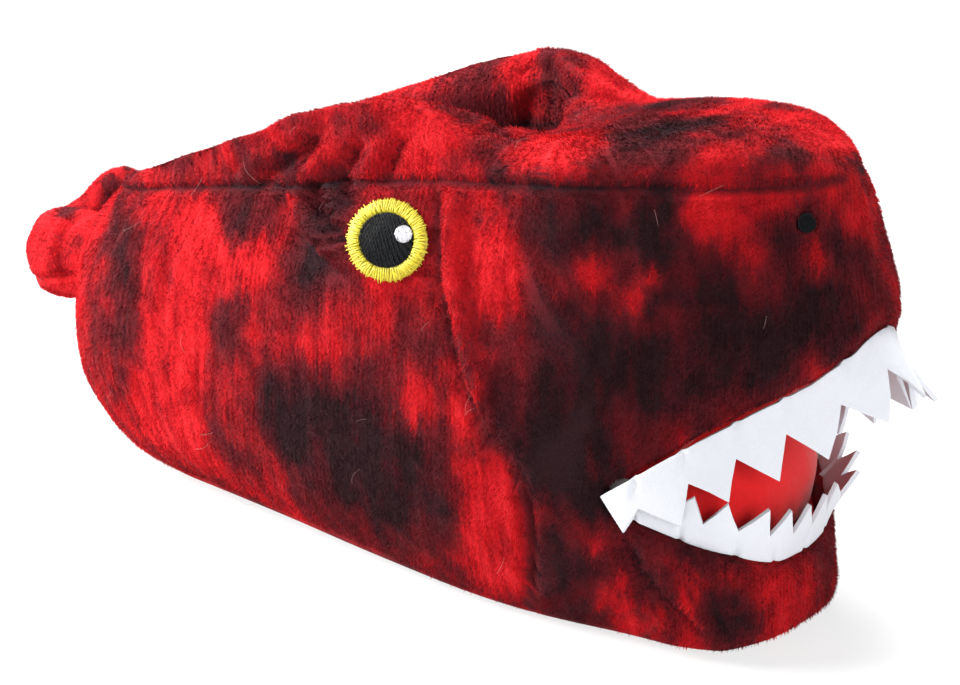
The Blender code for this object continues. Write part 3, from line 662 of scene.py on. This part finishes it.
def plush_dye_and_root_shade():
    """Plush dye and painted root shade: colour of a fibre from the darkness and the place between root and
    tip, darker towards the root as painted shade.
    """
    name = "Plush dye"
    if name in bpy.data.node_groups:
        return bpy.data.node_groups[name]
    settings = bpy.context.scene.slipper.plush
    tree, given, out = new_group(
        name,
        (("Darkness", "NodeSocketFloat", 0.3), ("Tip", "NodeSocketFloat", 0.6)),
        (("Color", "NodeSocketColor"),),
    )
    ramp = add(tree, "ShaderNodeValToRGB", Fac=given.outputs["Darkness"])
    stops = ((0.0, settings.clear_red), (0.26, settings.red), (0.56, settings.maroon),
             (0.96, settings.black))
    while len(ramp.color_ramp.elements) < len(stops):
        ramp.color_ramp.elements.new(0.5)
    for element, (place, colour) in zip(ramp.color_ramp.elements, stops):
        element.position = place
        element.color = rgba(colour)
    # painted shade: a fibre is darker towards its root
    shade = remap(tree, given.outputs["Tip"], 0.0, 1.0, 0.42, 1.12)
    grey = add(tree, "ShaderNodeCombineColor", Red=shade, Green=shade, Blue=shade)
    wire(tree, out, Color=mix(tree, "MULTIPLY", 1.0, ramp.outputs["Color"], grey.outputs["Color"]))
    return tree


def felt_fibres():
    """Felt: pressed fibres as colour variation and height, from a colour and the fibres' fineness."""
    name = "Felt fibres"
    if name in bpy.data.node_groups:
        return bpy.data.node_groups[name]
    tree, given, out = new_group(
        name,
        (("Color", "NodeSocketColor", (0.8, 0.8, 0.8, 1.0)), ("Fineness", "NodeSocketFloat", 900.0),
         ("Depth", "NodeSocketFloat", 0.12)),
        (("Color", "NodeSocketColor"), ("Height", "NodeSocketFloat")),
    )
    where = add(tree, "ShaderNodeTexCoord").outputs["Object"]
    fine = add(tree, "ShaderNodeTexNoise", Vector=where, Scale=given.outputs["Fineness"], Detail=4.0,
               Roughness=0.65, Distortion=1.6)
    broad = noise(tree, where, 110.0, 3.0, 0.6)
    blend = maths(tree, "ADD", maths(tree, "MULTIPLY", fine.outputs["Fac"], 0.7),
                  maths(tree, "MULTIPLY", broad, 0.3))
    dim = remap(tree, blend, 0.3, 0.7, 0.0, 1.0)
    weight = maths(tree, "MULTIPLY", maths(tree, "SUBTRACT", 1.0, dim), given.outputs["Depth"])
    wire(tree, out, Color=mix(tree, "MIX", weight, given.outputs["Color"], rgba(BLACK)), Height=blend)
    return tree


def new_material(name, roughness, sheen=0.0, tint=WHITE, specular=0.3):
    """A material and its shader, with the values that hold all over it."""
    material = bpy.data.materials.new(name)
    material.use_nodes = True
    shader = material.node_tree.nodes["Principled BSDF"]
    wire(material.node_tree, shader, Roughness=roughness, Sheen_Weight=sheen, Sheen_Roughness=0.45,
         Sheen_Tint=rgba(tint), Specular_IOR_Level=specular)
    return material, material.node_tree, shader


def bump(tree, shader, height, distance, strength=1.0):
    node = add(tree, "ShaderNodeBump", Strength=strength, Distance=distance, Height=height)
    wire(tree, shader, Normal=node.outputs["Normal"])


def pile_material():
    """Pile fibres: colour from the fibre's own map, across it the darkness of dye and painted shade and
    along it root to tip.
    """
    name = "plush pile"
    if name in bpy.data.materials:
        return bpy.data.materials[name]
    material, tree, shader = new_material(name, 0.8, 0.035, SHEEN_PINK, 0.02)
    own = add(tree, "ShaderNodeUVMap", uv_map=PILE_MAP)
    split = add(tree, "ShaderNodeSeparateXYZ", Vector=own.outputs["UV"])
    group = add(tree, "ShaderNodeGroup", node_tree=plush_dye_and_root_shade())
    wire(tree, group, Darkness=remap(tree, split.outputs["X"], *MAP_DARK, 0.0, 1.0),
         Tip=remap(tree, split.outputs["Y"], *MAP_TIP, 0.0, 1.0))
    wire(tree, shader, Base_Color=group.outputs["Color"])
    return material


def skin_material():
    """Knitted ground that the pile stands on, darkened as painted shade under the pile."""
    name = "plush ground"
    if name in bpy.data.materials:
        return bpy.data.materials[name]
    material, tree, shader = new_material(name, 0.9, 0.05, SHEEN_PINK, 0.03)
    where = add(tree, "ShaderNodeTexCoord").outputs["Object"]
    shade = add(tree, "ShaderNodeAttribute", attribute_name="dye").outputs["Fac"]
    fine = noise(tree, where, 1400.0, 3.0, 0.7)
    group = add(tree, "ShaderNodeGroup", node_tree=plush_dye_and_root_shade())
    # the ground takes a colour near the fibres' roots: painted shade under the pile
    wire(tree, group, Darkness=maths(tree, "ADD", shade, remap(tree, fine, 0.3, 0.7, -0.06, 0.10)),
         Tip=remap(tree, fine, 0.3, 0.7, 0.25, 0.75))
    wire(tree, shader, Base_Color=group.outputs["Color"])
    bump(tree, shader, fine, 0.6 * MM)
    return material


def felt_material(name, colour, fineness, depth, sheen=0.15):
    if name in bpy.data.materials:
        return bpy.data.materials[name]
    material, tree, shader = new_material(name, 0.92, sheen, WHITE, 0.2)
    group = add(tree, "ShaderNodeGroup", node_tree=felt_fibres())
    wire(tree, group, Color=rgba(colour), Fineness=fineness, Depth=depth)
    wire(tree, shader, Base_Color=group.outputs["Color"])
    bump(tree, shader, group.outputs["Height"], 0.25 * MM)
    return material


def thread_material(name, colour, roughness, gloss=0.35):
    """Twisted rayon thread: a little uneven in tone, with a soft gloss."""
    if name in bpy.data.materials:
        return bpy.data.materials[name]
    material, tree, shader = new_material(name, roughness, 0.0, WHITE, gloss)
    where = add(tree, "ShaderNodeTexCoord").outputs["Object"]
    patch = noise(tree, where, 2300.0, 2.0, 0.6)
    tone = mix(tree, "MIX", remap(tree, patch, 0.35, 0.7, 0.0, 0.8), rgba(colour), rgba(colour, 0.42))
    dull = remap(tree, patch, 0.3, 0.7, roughness - 0.08, roughness + 0.12)
    wire(tree, shader, Base_Color=tone, Roughness=dull)
    bump(tree, shader, noise(tree, where, 5200.0, 1.0, 0.5), 0.06 * MM)
    return material


def sole_material():
    """Woven sole cloth with rows of small grip dots."""
    colour = bpy.context.scene.slipper.felt.sole
    material, tree, shader = new_material("sole cloth", 0.85, 0.05)
    where = add(tree, "ShaderNodeTexCoord").outputs["Object"]
    weave = add(tree, "ShaderNodeTexWave", Vector=where, Scale=520.0, Distortion=1.5, Detail=1.0)
    flat = add(tree, "ShaderNodeMapping", Vector=where, Scale=(170.0, 170.0, 0.0))
    dots = add(tree, "ShaderNodeTexVoronoi", Vector=flat.outputs["Vector"], Scale=1.0, Randomness=0.0)
    grip = remap(tree, dots.outputs["Distance"], 0.22, 0.30, 1.0, 0.0)
    cloth = mix(tree, "MIX", weave.outputs["Fac"], rgba(colour, 0.55), rgba(colour))
    wire(tree, shader, Base_Color=mix(tree, "MIX", grip, cloth, rgba(colour, 2.2)))
    height = maths(tree, "ADD", maths(tree, "MULTIPLY", weave.outputs["Fac"], 0.2), grip)
    bump(tree, shader, height, 0.35 * MM)
    return material


# Face

class Patch:
    """A small smooth piece of the head's side that embroidery is laid on."""

    def __init__(self, tree, middle, out, reach, wide):
        self.out = Vector(out).normalized()
        self.across = Vector((0.0, 0.0, 1.0)).cross(self.out).normalized()
        self.up = self.out.cross(self.across)
        self.middle = Vector(middle)
        self.wide = wide
        rows = []
        heights = []
        for turn in np.arange(0, 2 * pi, pi / 16):
            for share in (0.0, 0.3, 0.6, 0.85, 1.0):
                a = share * reach * wide * cos(turn)
                b = share * reach * sin(turn)
                start = self.middle + self.across * a + self.up * b + self.out * PATCH_START
                hit = tree.ray_cast(start, -self.out, PATCH_REACH)[0]
                if hit is not None:
                    rows.append(self.terms(a, b))
                    heights.append((hit - self.middle).dot(self.out))
        self.fit = np.linalg.lstsq(np.array(rows), np.array(heights), rcond=None)[0]

    @staticmethod
    def terms(a, b):
        return np.stack([np.ones_like(a), a, b, a * a, a * b, b * b], axis=-1)

    def place(self, a, b, rise):
        """Points over the patch at widths a and heights b, raised off it."""
        a, b, rise = np.broadcast_arrays(np.asarray(a, float), np.asarray(b, float), np.asarray(rise, float))
        high = self.terms(a, b) @ self.fit + rise
        return (np.array(self.middle) + a[..., None] * np.array(self.across)
                + b[..., None] * np.array(self.up) + high[..., None] * np.array(self.out))

    def local(self, points):
        """Width, height and rise of points over the patch."""
        away = points - np.array(self.middle)
        a = away @ np.array(self.across)
        b = away @ np.array(self.up)
        return a, b, away @ np.array(self.out) - self.terms(a, b) @ self.fit


def face_patch(tree, side, kind):
    if kind == "eye":
        x, y, z = EYE_PLACE
        turn = radians(EYE_TURN)
        tilt = radians(EYE_TILT)
        out = (sin(turn) * cos(tilt), side * cos(turn) * cos(tilt), sin(tilt))
        reach = bpy.context.scene.slipper.eye.ring
        return Patch(tree, HEEL + Vector((x, side * y, z)) * MM, out, reach * 1.1, EYE_WIDE)
    x, y, z = NOSTRIL_PLACE
    ahead, aside, above = NOSTRIL_OUT
    reach = bpy.context.scene.slipper.eye.nostril
    return Patch(tree, HEEL + Vector((x, side * y, z)) * MM, (ahead, side * aside, above), reach * 1.5, 1.0)


def thread_mesh(name, runs, out, width, height):
    """Threads as closed rounded ridges: runs holds each thread's points, out points away from the cloth."""
    count, steps = runs.shape[:2]
    side = unit(np.cross(np.gradient(runs, axis=1), out))
    taper = np.ones(steps)
    taper[[0, -1]] = 0.55
    half = side * (width * taper / 2)[None, :, None]
    high = out * height
    rows = np.stack([runs - half, runs - half * 0.55 + high * 0.8, runs + half * 0.55 + high * 0.8,
                     runs + half], axis=2)
    sides = rows.shape[2]
    points = rows.reshape(-1, 3)
    index = np.arange(len(points)).reshape(count, steps, sides)
    quads = []
    for corner in range(sides):
        after = (corner + 1) % sides
        quads.append(np.stack([index[:, :-1, corner], index[:, :-1, after], index[:, 1:, after],
                               index[:, 1:, corner]], axis=-1).reshape(-1, 4))
    quads.append(index[:, 0, ::-1].reshape(-1, 4))
    quads.append(index[:, -1, :].reshape(-1, 4))
    mesh = mesh_from_arrays(name, points, np.concatenate(quads)[:, ::-1])
    mesh.polygons.foreach_set("use_smooth", [True] * len(mesh.polygons))
    return mesh


def base_disc(patch, radii, rise, sides=56):
    """A bmesh of a low padded disc or ring on a patch: rings of radii, the outermost and innermost sunk."""
    build = bmesh.new()
    loops = []
    for radius in radii:
        ring = bmesh.ops.create_circle(build, cap_ends=False, segments=sides, radius=radius)
        loops.append(ring["verts"])
    for inner, outer in zip(loops, loops[1:]):
        edges = [edge for edge in build.edges if all(vert in inner or vert in outer for vert in edge.verts)]
        bmesh.ops.bridge_loops(build, edges=edges)
    disc = radii[0] < MM
    if disc:
        bmesh.ops.contextual_create(build, geom=loops[0])
    for vert in build.verts:
        radius = vert.co.length
        share = (radius - radii[0]) / (radii[-1] - radii[0])
        pad = rise * (1 - (share if disc else 2 * share - 1) ** 4)
        vert.co = Vector(patch.place(vert.co.x * patch.wide, vert.co.y, pad - 0.1 * MM))
    bmesh.ops.recalc_face_normals(build, faces=build.faces)
    if build.faces[:][0].normal.dot(patch.out) < 0:
        bmesh.ops.reverse_faces(build, faces=build.faces)
    return build


def joined(name, build, mesh):
    """One mesh of a bmesh and a mesh."""
    build.from_mesh(mesh)
    bpy.data.meshes.remove(mesh)
    return to_mesh(build, name)


def satin_ring(patch, inner, outer, count, rise, rng):
    """Radial stitches that arch from the pupil to the ragged outer edge."""
    turn = np.linspace(0, 2 * pi, count, endpoint=False) + rng.normal(scale=0.012, size=count)
    start = inner + rng.normal(scale=0.10 * MM, size=count)
    end = outer + rng.normal(scale=0.34 * MM, size=count)
    lean = rng.normal(scale=0.06, size=count)
    share = np.linspace(0.0, 1.0, 5)
    radius = start[:, None] + (end - start)[:, None] * share
    angle = turn[:, None] + lean[:, None] * (share - 0.5)
    high = rise * (0.45 + 0.50 * np.sin(pi * np.clip(share, 0.06, 0.94)))
    high = high + rng.normal(scale=0.03 * MM, size=count)[:, None]
    return patch.place(radius * np.cos(angle) * patch.wide, radius * np.sin(angle), high)


def filled_rows(patch, middle, radius, pitch, stitch, tilt, rise, rng):
    """Rows of short stitches that fill a round spot, each row set off against the last."""
    runs = []
    share = np.linspace(0.0, 1.0, 4)
    rows = int(2 * radius / pitch)
    for row in range(rows):
        offset = (row + 0.5) * pitch - radius
        half = (max(radius ** 2 - offset ** 2, 0.0)) ** 0.5
        start = -half - stitch * (1 - row * 0.618 % 1.0)
        while start < half:
            low = max(start, -half)
            high = min(start + stitch * (0.9 + 0.2 * rng.random()), half)
            if high - low > 0.25 * MM:
                along = low + (high - low) * share
                a = (offset * cos(tilt) - along * sin(tilt)) * patch.wide + middle[0]
                b = offset * sin(tilt) + along * cos(tilt) + middle[1]
                runs.append(patch.place(a, b, rise + 0.10 * MM * np.sin(pi * share)))
            start += stitch
    return np.array(runs)


def sew(kind, side, patch):
    """A piece of embroidery on one side of the head."""
    eye = bpy.context.scene.slipper.eye
    name = SIDE_NAME[side]
    rng = np.random.default_rng(SEW_SEED[side])
    if kind == "eye_ring":
        build = base_disc(patch, (eye.pupil - 0.3 * MM, eye.pupil + 0.8 * MM, (eye.pupil + eye.ring) / 2,
                                  eye.ring - 0.8 * MM, eye.ring - 0.2 * MM), 0.7 * MM)
        runs = np.concatenate([satin_ring(patch, eye.pupil - 0.1 * MM, eye.ring, 116, 1.00 * MM, rng),
                               satin_ring(patch, eye.pupil, eye.ring - 0.1 * MM, 84, 1.25 * MM, rng)])
        thick, high = 0.95, 0.26
        material = thread_material("yellow thread", eye.yellow, 0.42)
    elif kind == "eye_pupil":
        build = base_disc(patch, (0.4 * MM, eye.pupil * 0.4, eye.pupil * 0.75, eye.pupil + 0.1 * MM),
                          0.75 * MM)
        runs = filled_rows(patch, (0.0, 0.0), eye.pupil, eye.thread, 2.6 * MM, 0.10 * side, 0.72 * MM, rng)
        thick, high = 0.92, 0.22
        material = thread_material("black thread", eye.black, 0.34, 0.10)
    elif kind == "eye_glint":
        a, b = GLINT_PLACE
        middle = (-side * a * MM, b * MM)
        build = bmesh.new()
        runs = np.concatenate([
            filled_rows(patch, middle, eye.glint, eye.thread * 0.9, 9.0 * MM, 0.22 * side, 1.02 * MM, rng),
            filled_rows(patch, middle, eye.glint * 0.96, eye.thread, 9.0 * MM, 0.34 * side, 1.16 * MM, rng)])
        thick, high = 1.0, 0.22
        material = thread_material("white thread", eye.white, 0.42)
    else:
        build = base_disc(patch, (0.4 * MM, eye.nostril * 0.5, eye.nostril * 0.8, eye.nostril),
                          -0.7 * MM, 28)
        runs = filled_rows(patch, (0.0, 0.0), eye.nostril, eye.thread * 0.9, 2.4 * MM, 0.1, -0.7 * MM, rng)
        thick, high = 1.0, 0.2
        material = felt_material("black yarn", eye.black, 2000.0, 0.3, 0.0)
    threads = thread_mesh(kind, runs, np.array(patch.out), eye.thread * thick, high * MM)
    mesh = joined(kind + "_sewn_" + name, build, threads)
    new_piece(mesh, mesh.name, material, (kind + "_" + name,))


# Upper

def facing_in(points, normals, tree):
    """True for each vertex that looks into the slipper."""
    inside = np.zeros(len(points), dtype=bool)
    for index, (point, normal) in enumerate(zip(points, normals)):
        start = Vector(point) + Vector(normal) * 1.5 * MM
        inside[index] = tree.ray_cast(start, Vector(normal), INSIDE_REACH)[0] is not None
    return inside


def press_under(points, normals, patch, reach, depth):
    """Vertices under embroidery, pressed to lie just below it."""
    a, b, rise = patch.local(points)
    inside = (a / patch.wide) ** 2 + b ** 2 < reach ** 2
    outer = inside & (np.abs(rise) < 5 * MM) & (normals @ np.array(patch.out) > 0.2)
    edge = 1 - fade(np.sqrt((a / patch.wide) ** 2 + b ** 2), 0.85 * reach, reach)
    move = np.where(outer, (-depth - rise) * edge, 0.0)
    return points + move[:, None] * np.array(patch.out)


class SLIPPER_OT_upper(bpy.types.Operator):
    """Make the padded upper with its seams, folds and pile"""
    bl_idname = "slipper.upper"
    bl_label = "Upper"

    def execute(self, context):
        settings = context.scene.slipper
        mesh = soft_mesh("upper", "plush_upper")
        points, normals, _ = read_mesh(mesh)
        place = from_heel(points)
        puff = 1.2 * lumps(points, 0.028, 1) + 0.55 * lumps(points, 0.012, 2)
        folds = fold_rise(points, normals)
        rise = folds + puff * fade(place[:, 2], 4.0, 14.0)
        sag = (1 - fade(place[:, 0], *RIM_BACK)) * fade(place[:, 2], *RIM_HIGH)
        points = points + normals * (rise * MM)[:, None] + sag[:, None] * np.array(RIM_SAG) * MM
        points[:, 2] = np.maximum(points[:, 2], 0.9 * MM)
        write_points(mesh, points)
        points, normals, corners = read_mesh(mesh)
        tree = BVHTree.FromPolygons([Vector(point) for point in points], corners.tolist())
        patches = [(kind, side, face_patch(tree, side, kind)) for kind in ("eye", "nostril")
                   for side in (RIGHT, LEFT)]
        for kind, _, patch in patches:
            reach, deep = (settings.eye.ring, 0.5) if kind == "eye" else (settings.eye.nostril, 2.2)
            points = press_under(points, normals, patch, reach * 1.12, deep * MM)
        write_points(mesh, points)
        points, normals, corners = read_mesh(mesh)
        tree = BVHTree.FromPolygons([Vector(point) for point in points], corners.tolist())
        # painted shade: the ground is darkened along the sewn seams, where the pile parts
        set_attribute(mesh, "dye", dye(points) + 0.35 * sewn_line(points, normals, 1.3))
        upper = new_piece(mesh, "plush_upper", skin_material(), ("upper",))
        for kind, side, patch in patches:
            for part in (("eye_ring", "eye_pupil", "eye_glint") if kind == "eye" else ("nostril",)):
                sew(part, side, patch)
        self.pile(settings, points, normals, corners, tree, patches, -folds)
        return {"FINISHED"}

    def pile(self, settings, points, normals, corners, tree, patches, depth):
        """Pile on all that shows of the upper, kept off the embroidery."""
        middle = points[corners].mean(axis=1)
        out = normals[corners].mean(axis=1)
        place = from_heel(middle)
        inside = facing_in(middle, out, tree)
        under = (place[:, 2] < UNDER_HEIGHT) & (out[:, 2] < -0.55)
        hidden = inside & ((place[:, 2] < INSIDE_HEIGHT) | (place[:, 0] > INSIDE_FRONT))
        shown = ~under & ~hidden
        top = ~inside & (out[:, 2] > 0.62)
        regions = {
            "pile_right": shown & ~inside & ~top & (place[:, 1] < 0),
            "pile_left": shown & ~inside & ~top & (place[:, 1] >= 0),
            "pile_top": shown & top,
            "pile_collar": shown & inside,
        }
        dense = settings.plush.dense * TO_SQUARE_METRE
        for index, (name, chosen) in enumerate(regions.items()):
            rng = np.random.default_rng(PILE_SEED + index)
            spots, up, deep = strewn(points, normals, corners[chosen], dense, rng, depth)
            keep = np.ones(len(spots), dtype=bool)
            for kind, _, patch in patches:
                a, b, rise = patch.local(spots)
                reach = settings.eye.ring - 0.2 * MM if kind == "eye" else 0.7 * settings.eye.nostril
                keep &= ((a / patch.wide) ** 2 + b ** 2 > reach ** 2) | (np.abs(rise) > 9 * MM)
            lay_pile(name, spots[keep], up[keep], deep[keep], settings.plush, rng, pile_material())
        self.strays(settings.plush, points, normals, corners[shown & ~inside])

    def strays(self, plush, points, normals, corners):
        """Single long fibres that have worked loose from the pile."""
        rng = np.random.default_rng(STRAY_SEED)
        spots, up, _ = strewn(points, normals, corners, plush.strays * 1e3, rng)
        share = np.linspace(0.0, 1.0, 6)[None, :, None]
        flow = np.array([-0.2, 0.0, -1.0]) + 0.8 * rng.normal(size=spots.shape)
        flow = unit(flow - up * (flow * up).sum(axis=1, keepdims=True))
        side = np.cross(up, flow) * rng.normal(scale=0.45, size=(len(spots), 1))
        size = (3 + 5 * rng.random((len(spots), 1, 1))) * MM
        high = (1.1 + 1.6 * np.sin(pi * 0.75 * share)) * MM
        runs = (spots[:, None] + flow[:, None] * share * size + side[:, None] * share ** 2 * size
                + up[:, None] * high)
        runs[..., 2] = np.maximum(runs[..., 2], 0.5 * MM)
        out = np.repeat(up[:, None], 6, axis=1)
        mesh = thread_mesh("loose_fibres", runs, out, 0.06 * MM, 0.04 * MM)
        material = felt_material("loose fibre", plush.stray, 900.0, 0.3)
        new_piece(mesh, "loose_fibres", material)


class SLIPPER_OT_tail(bpy.types.Operator):
    """Make the stuffed tail"""
    bl_idname = "slipper.tail"
    bl_label = "Tail"

    def execute(self, context):
        settings = context.scene.slipper.plush
        mesh = soft_mesh("tail", "plush_tail")
        points, normals, _ = read_mesh(mesh)
        place = from_heel(points)
        ridge = np.exp(-((place[:, 1] + 1.0) / 2.6) ** 2) * fade(normals[:, 2], 0.2, 0.8)
        ridge = ridge * (place[:, 2] < TAIL_RIDGE)
        folds = fold_rise(points, normals)
        slim = (1.0 + 1.2 * fade(-place[:, 0], *TAIL_TIP)) * (1 - fade(place[:, 2], *TAIL_LOBE))
        rise = folds + 0.5 * lumps(points, 0.012, 51) + 1.4 * ridge - slim
        points = points + normals * (rise * MM)[:, None]
        points[:, 0] += TAIL_SEWN * MM * fade(place[:, 0], *TAIL_ROOT)
        write_points(mesh, points)
        points, normals, corners = read_mesh(mesh)
        set_attribute(mesh, "dye", dye(points))
        tail = new_piece(mesh, "plush_tail", skin_material(), ("tail",))
        rng = np.random.default_rng(TAIL_SEED)
        spots, up, deep = strewn(points, normals, corners, settings.dense * TO_SQUARE_METRE, rng, -folds)
        lay_pile("pile_tail", spots, up, deep, settings, rng, pile_material(), 0.85)
        return {"FINISHED"}


class SLIPPER_OT_teeth(bpy.types.Operator):
    """Make the felt strips with teeth"""
    bl_idname = "slipper.teeth"
    bl_label = "Teeth"

    def execute(self, context):
        felt = context.scene.slipper.felt
        for node, lip, way in (("upper_teeth", UPPER_LIP, -1), ("lower_teeth", LOWER_LIP, 1)):
            mesh = fine_mesh(node, node + "_felt")
            points, _, _ = read_mesh(mesh)
            place = from_heel(points)
            lips = np.array(lip, dtype=float)
            below = way * (place[:, 2] - np.interp(place[:, 0], lips[:, 0], lips[:, 1]))
            turn = np.arctan2(place[:, 1], place[:, 0] - SNOUT_TURN)
            sewn = 1 - fade(below, 0.5, 10.0)
            rise = 0.45 * lumps(points, 0.016, 61) + 0.25 * lumps(points, 0.007, 62)
            for pleat in PLEATS:
                away = turn * SNOUT_REACH - pleat
                rise = rise + (0.5 * np.exp(-(away / 3.2) ** 2) - 1.5 * np.exp(-(away / 1.0) ** 2)) * sewn
            out = np.stack([np.cos(turn), np.sin(turn), 0 * turn], axis=1)
            write_points(mesh, points + out * (felt.pleat * rise)[:, None])
            mesh.set_sharp_from_angle(angle=radians(50))
            cloth = felt_material("white felt", felt.white, 1500.0, 0.10)
            piece = new_piece(mesh, node + "_felt", cloth, (node,))
            round_edges(piece, "cut edge", 0.2 * MM, radians(50))
        return {"FINISHED"}


class SLIPPER_OT_mouth(bpy.types.Operator):
    """Make the red panel inside the mouth"""
    bl_idname = "slipper.mouth"
    bl_label = "Mouth"

    def execute(self, context):
        felt = context.scene.slipper.felt
        mesh = soft_mesh("mouth_lining", "mouth_panel")
        points, normals, _ = read_mesh(mesh)
        slant = points @ np.array([[0.5], [0.45], [0.75]])
        wrinkle = np.sin(slant[:, 0] / 0.0026 + 4.0 * lumps(points, 0.012, 71))
        wrinkle *= fade(lumps(points, 0.010, 72), -0.4, 0.5)
        low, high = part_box("mouth_lining")
        share, middle = in_box(points, low, high)
        rim = fade(np.sqrt((share[:, 1:] ** 2).sum(axis=1)), 0.45, 0.95) * fade(share[:, 1], -0.2, 0.3)
        points = points + normals * (0.16 * MM * wrinkle + 0.4 * MM * lumps(points, 0.014, 73))[:, None]
        points[:, 1:] += (points - middle)[:, 1:] * (PANEL_TUCK * rim)[:, None]
        write_points(mesh, points)
        cloth = felt_material("red felt", felt.red, 1100.0, 0.22, 0.25)
        new_piece(mesh, "mouth_panel", cloth, ("mouth_lining",))
        return {"FINISHED"}


class SLIPPER_OT_sole(bpy.types.Operator):
    """Make the sole and the foot bed"""
    bl_idname = "slipper.sole"
    bl_label = "Sole"

    def execute(self, context):
        felt = context.scene.slipper.felt
        mesh = to_mesh(node_copy("outsole"), "sole_panel", smooth=False)
        piece = new_piece(mesh, "sole_panel", sole_material(), ("outsole",))
        round_edges(piece, "rounded edge", 0.5 * MM, radians(40))
        mesh = fine_mesh("insole", "foot_bed")
        points, normals, _ = read_mesh(mesh)
        low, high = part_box("insole")
        share, _ = in_box(points, low, high)
        away = np.sqrt((share[:, :2] ** 2).sum(axis=1))
        crown = (1 - fade(away, 0.2, 1.0)) * 1.2 + 0.25 * lumps(points, 0.010, 81)
        points = points + normals * (crown * MM * (normals[:, 2] > 0.7))[:, None]
        write_points(mesh, points)
        cloth = felt_material("foot bed cloth", felt.lining, 800.0, 0.45)
        bed = new_piece(mesh, "foot_bed", cloth, ("insole",))
        return {"FINISHED"}


class SLIPPER_OT_stage(bpy.types.Operator):
    """Set the floor, the lights and the camera"""
    bl_idname = "slipper.stage"
    bl_label = "Stage"

    def execute(self, context):
        stage = context.scene.slipper.stage
        scene = context.scene
        build = bmesh.new()
        bmesh.ops.create_circle(build, cap_ends=True, segments=96, radius=FLOOR_RADIUS)
        floor = bpy.data.objects.new("floor", to_mesh(build, "floor"))
        scene.collection.objects.link(floor)
        material, tree, shader = new_material("pale floor", 0.8)
        wire(tree, shader, Base_Color=rgba(FLOOR_GREY), Emission_Color=rgba(WHITE),
             Emission_Strength=stage.table)
        floor.data.materials.append(material)
        world = bpy.data.worlds.new("studio")
        world.use_nodes = True
        room = world.node_tree
        wire(room, room.nodes["Background"], Color=rgba(WHITE), Strength=stage.fill)
        scene.world = world
        aim = HEEL + Vector(AIM) * MM
        for name, place, size in LIGHTS:
            lamp = bpy.data.lights.new(name, "AREA")
            lamp.shape = "DISK"
            lamp.size = size
            lamp.energy = getattr(stage, name)
            light = bpy.data.objects.new(name, lamp)
            light.location = aim + Vector(place)
            light.rotation_euler = (-Vector(place)).to_track_quat("-Z", "Y").to_euler()
            scene.collection.objects.link(light)
        back = Vector((sin(stage.azimuth) * cos(stage.elevation), -cos(stage.azimuth) * cos(stage.elevation),
                       sin(stage.elevation)))
        lens = bpy.data.cameras.new("camera")
        lens.sensor_width = SENSOR
        lens.lens = stage.lens
        lens.shift_x, lens.shift_y = SHIFT
        lens.clip_end = 60.0
        camera = bpy.data.objects.new("camera", lens)
        camera.location = aim + back * stage.distance
        camera.rotation_euler = (-back).to_track_quat("-Z", "Y").to_euler()
        scene.collection.objects.link(camera)
        scene.camera = camera
        scene.view_settings.view_transform = "Standard"
        return {"FINISHED"}


class SLIPPER_PT_panel(bpy.types.Panel):
    """Sizes, colours and pieces of the slipper"""
    bl_label = "Plush slipper"
    bl_idname = "SLIPPER_PT_panel"
    bl_space_type = "VIEW_3D"
    bl_region_type = "UI"
    bl_category = "Slipper"

    def draw(self, context):
        settings = context.scene.slipper
        for group in (settings.plush, settings.eye, settings.felt, settings.stage):
            box = self.layout.box()
            for name in group.bl_rna.properties.keys():
                if name not in ("rna_type", "name"):
                    box.prop(group, name)
        for operator in OPERATORS:
            self.layout.operator(operator.bl_idname)


OPERATORS = (SLIPPER_OT_upper, SLIPPER_OT_tail, SLIPPER_OT_teeth, SLIPPER_OT_mouth, SLIPPER_OT_sole,
             SLIPPER_OT_stage)
CLASSES = (PlushSettings, EyeSettings, FeltSettings, StageSettings, SlipperSettings, *OPERATORS,
           SLIPPER_PT_panel)


def register():
    for cls in CLASSES:
        bpy.utils.register_class(cls)
    bpy.types.Scene.slipper = PointerProperty(type=SlipperSettings)


def unregister():
    del bpy.types.Scene.slipper
    for cls in reversed(CLASSES):
        bpy.utils.unregister_class(cls)


def main():
    register()
    bpy.ops.slipper.stage()
    bpy.ops.slipper.upper()
    bpy.ops.slipper.tail()
    bpy.ops.slipper.teeth()
    bpy.ops.slipper.mouth()
    bpy.ops.slipper.sole()


if __name__ == "__main__":
    main()
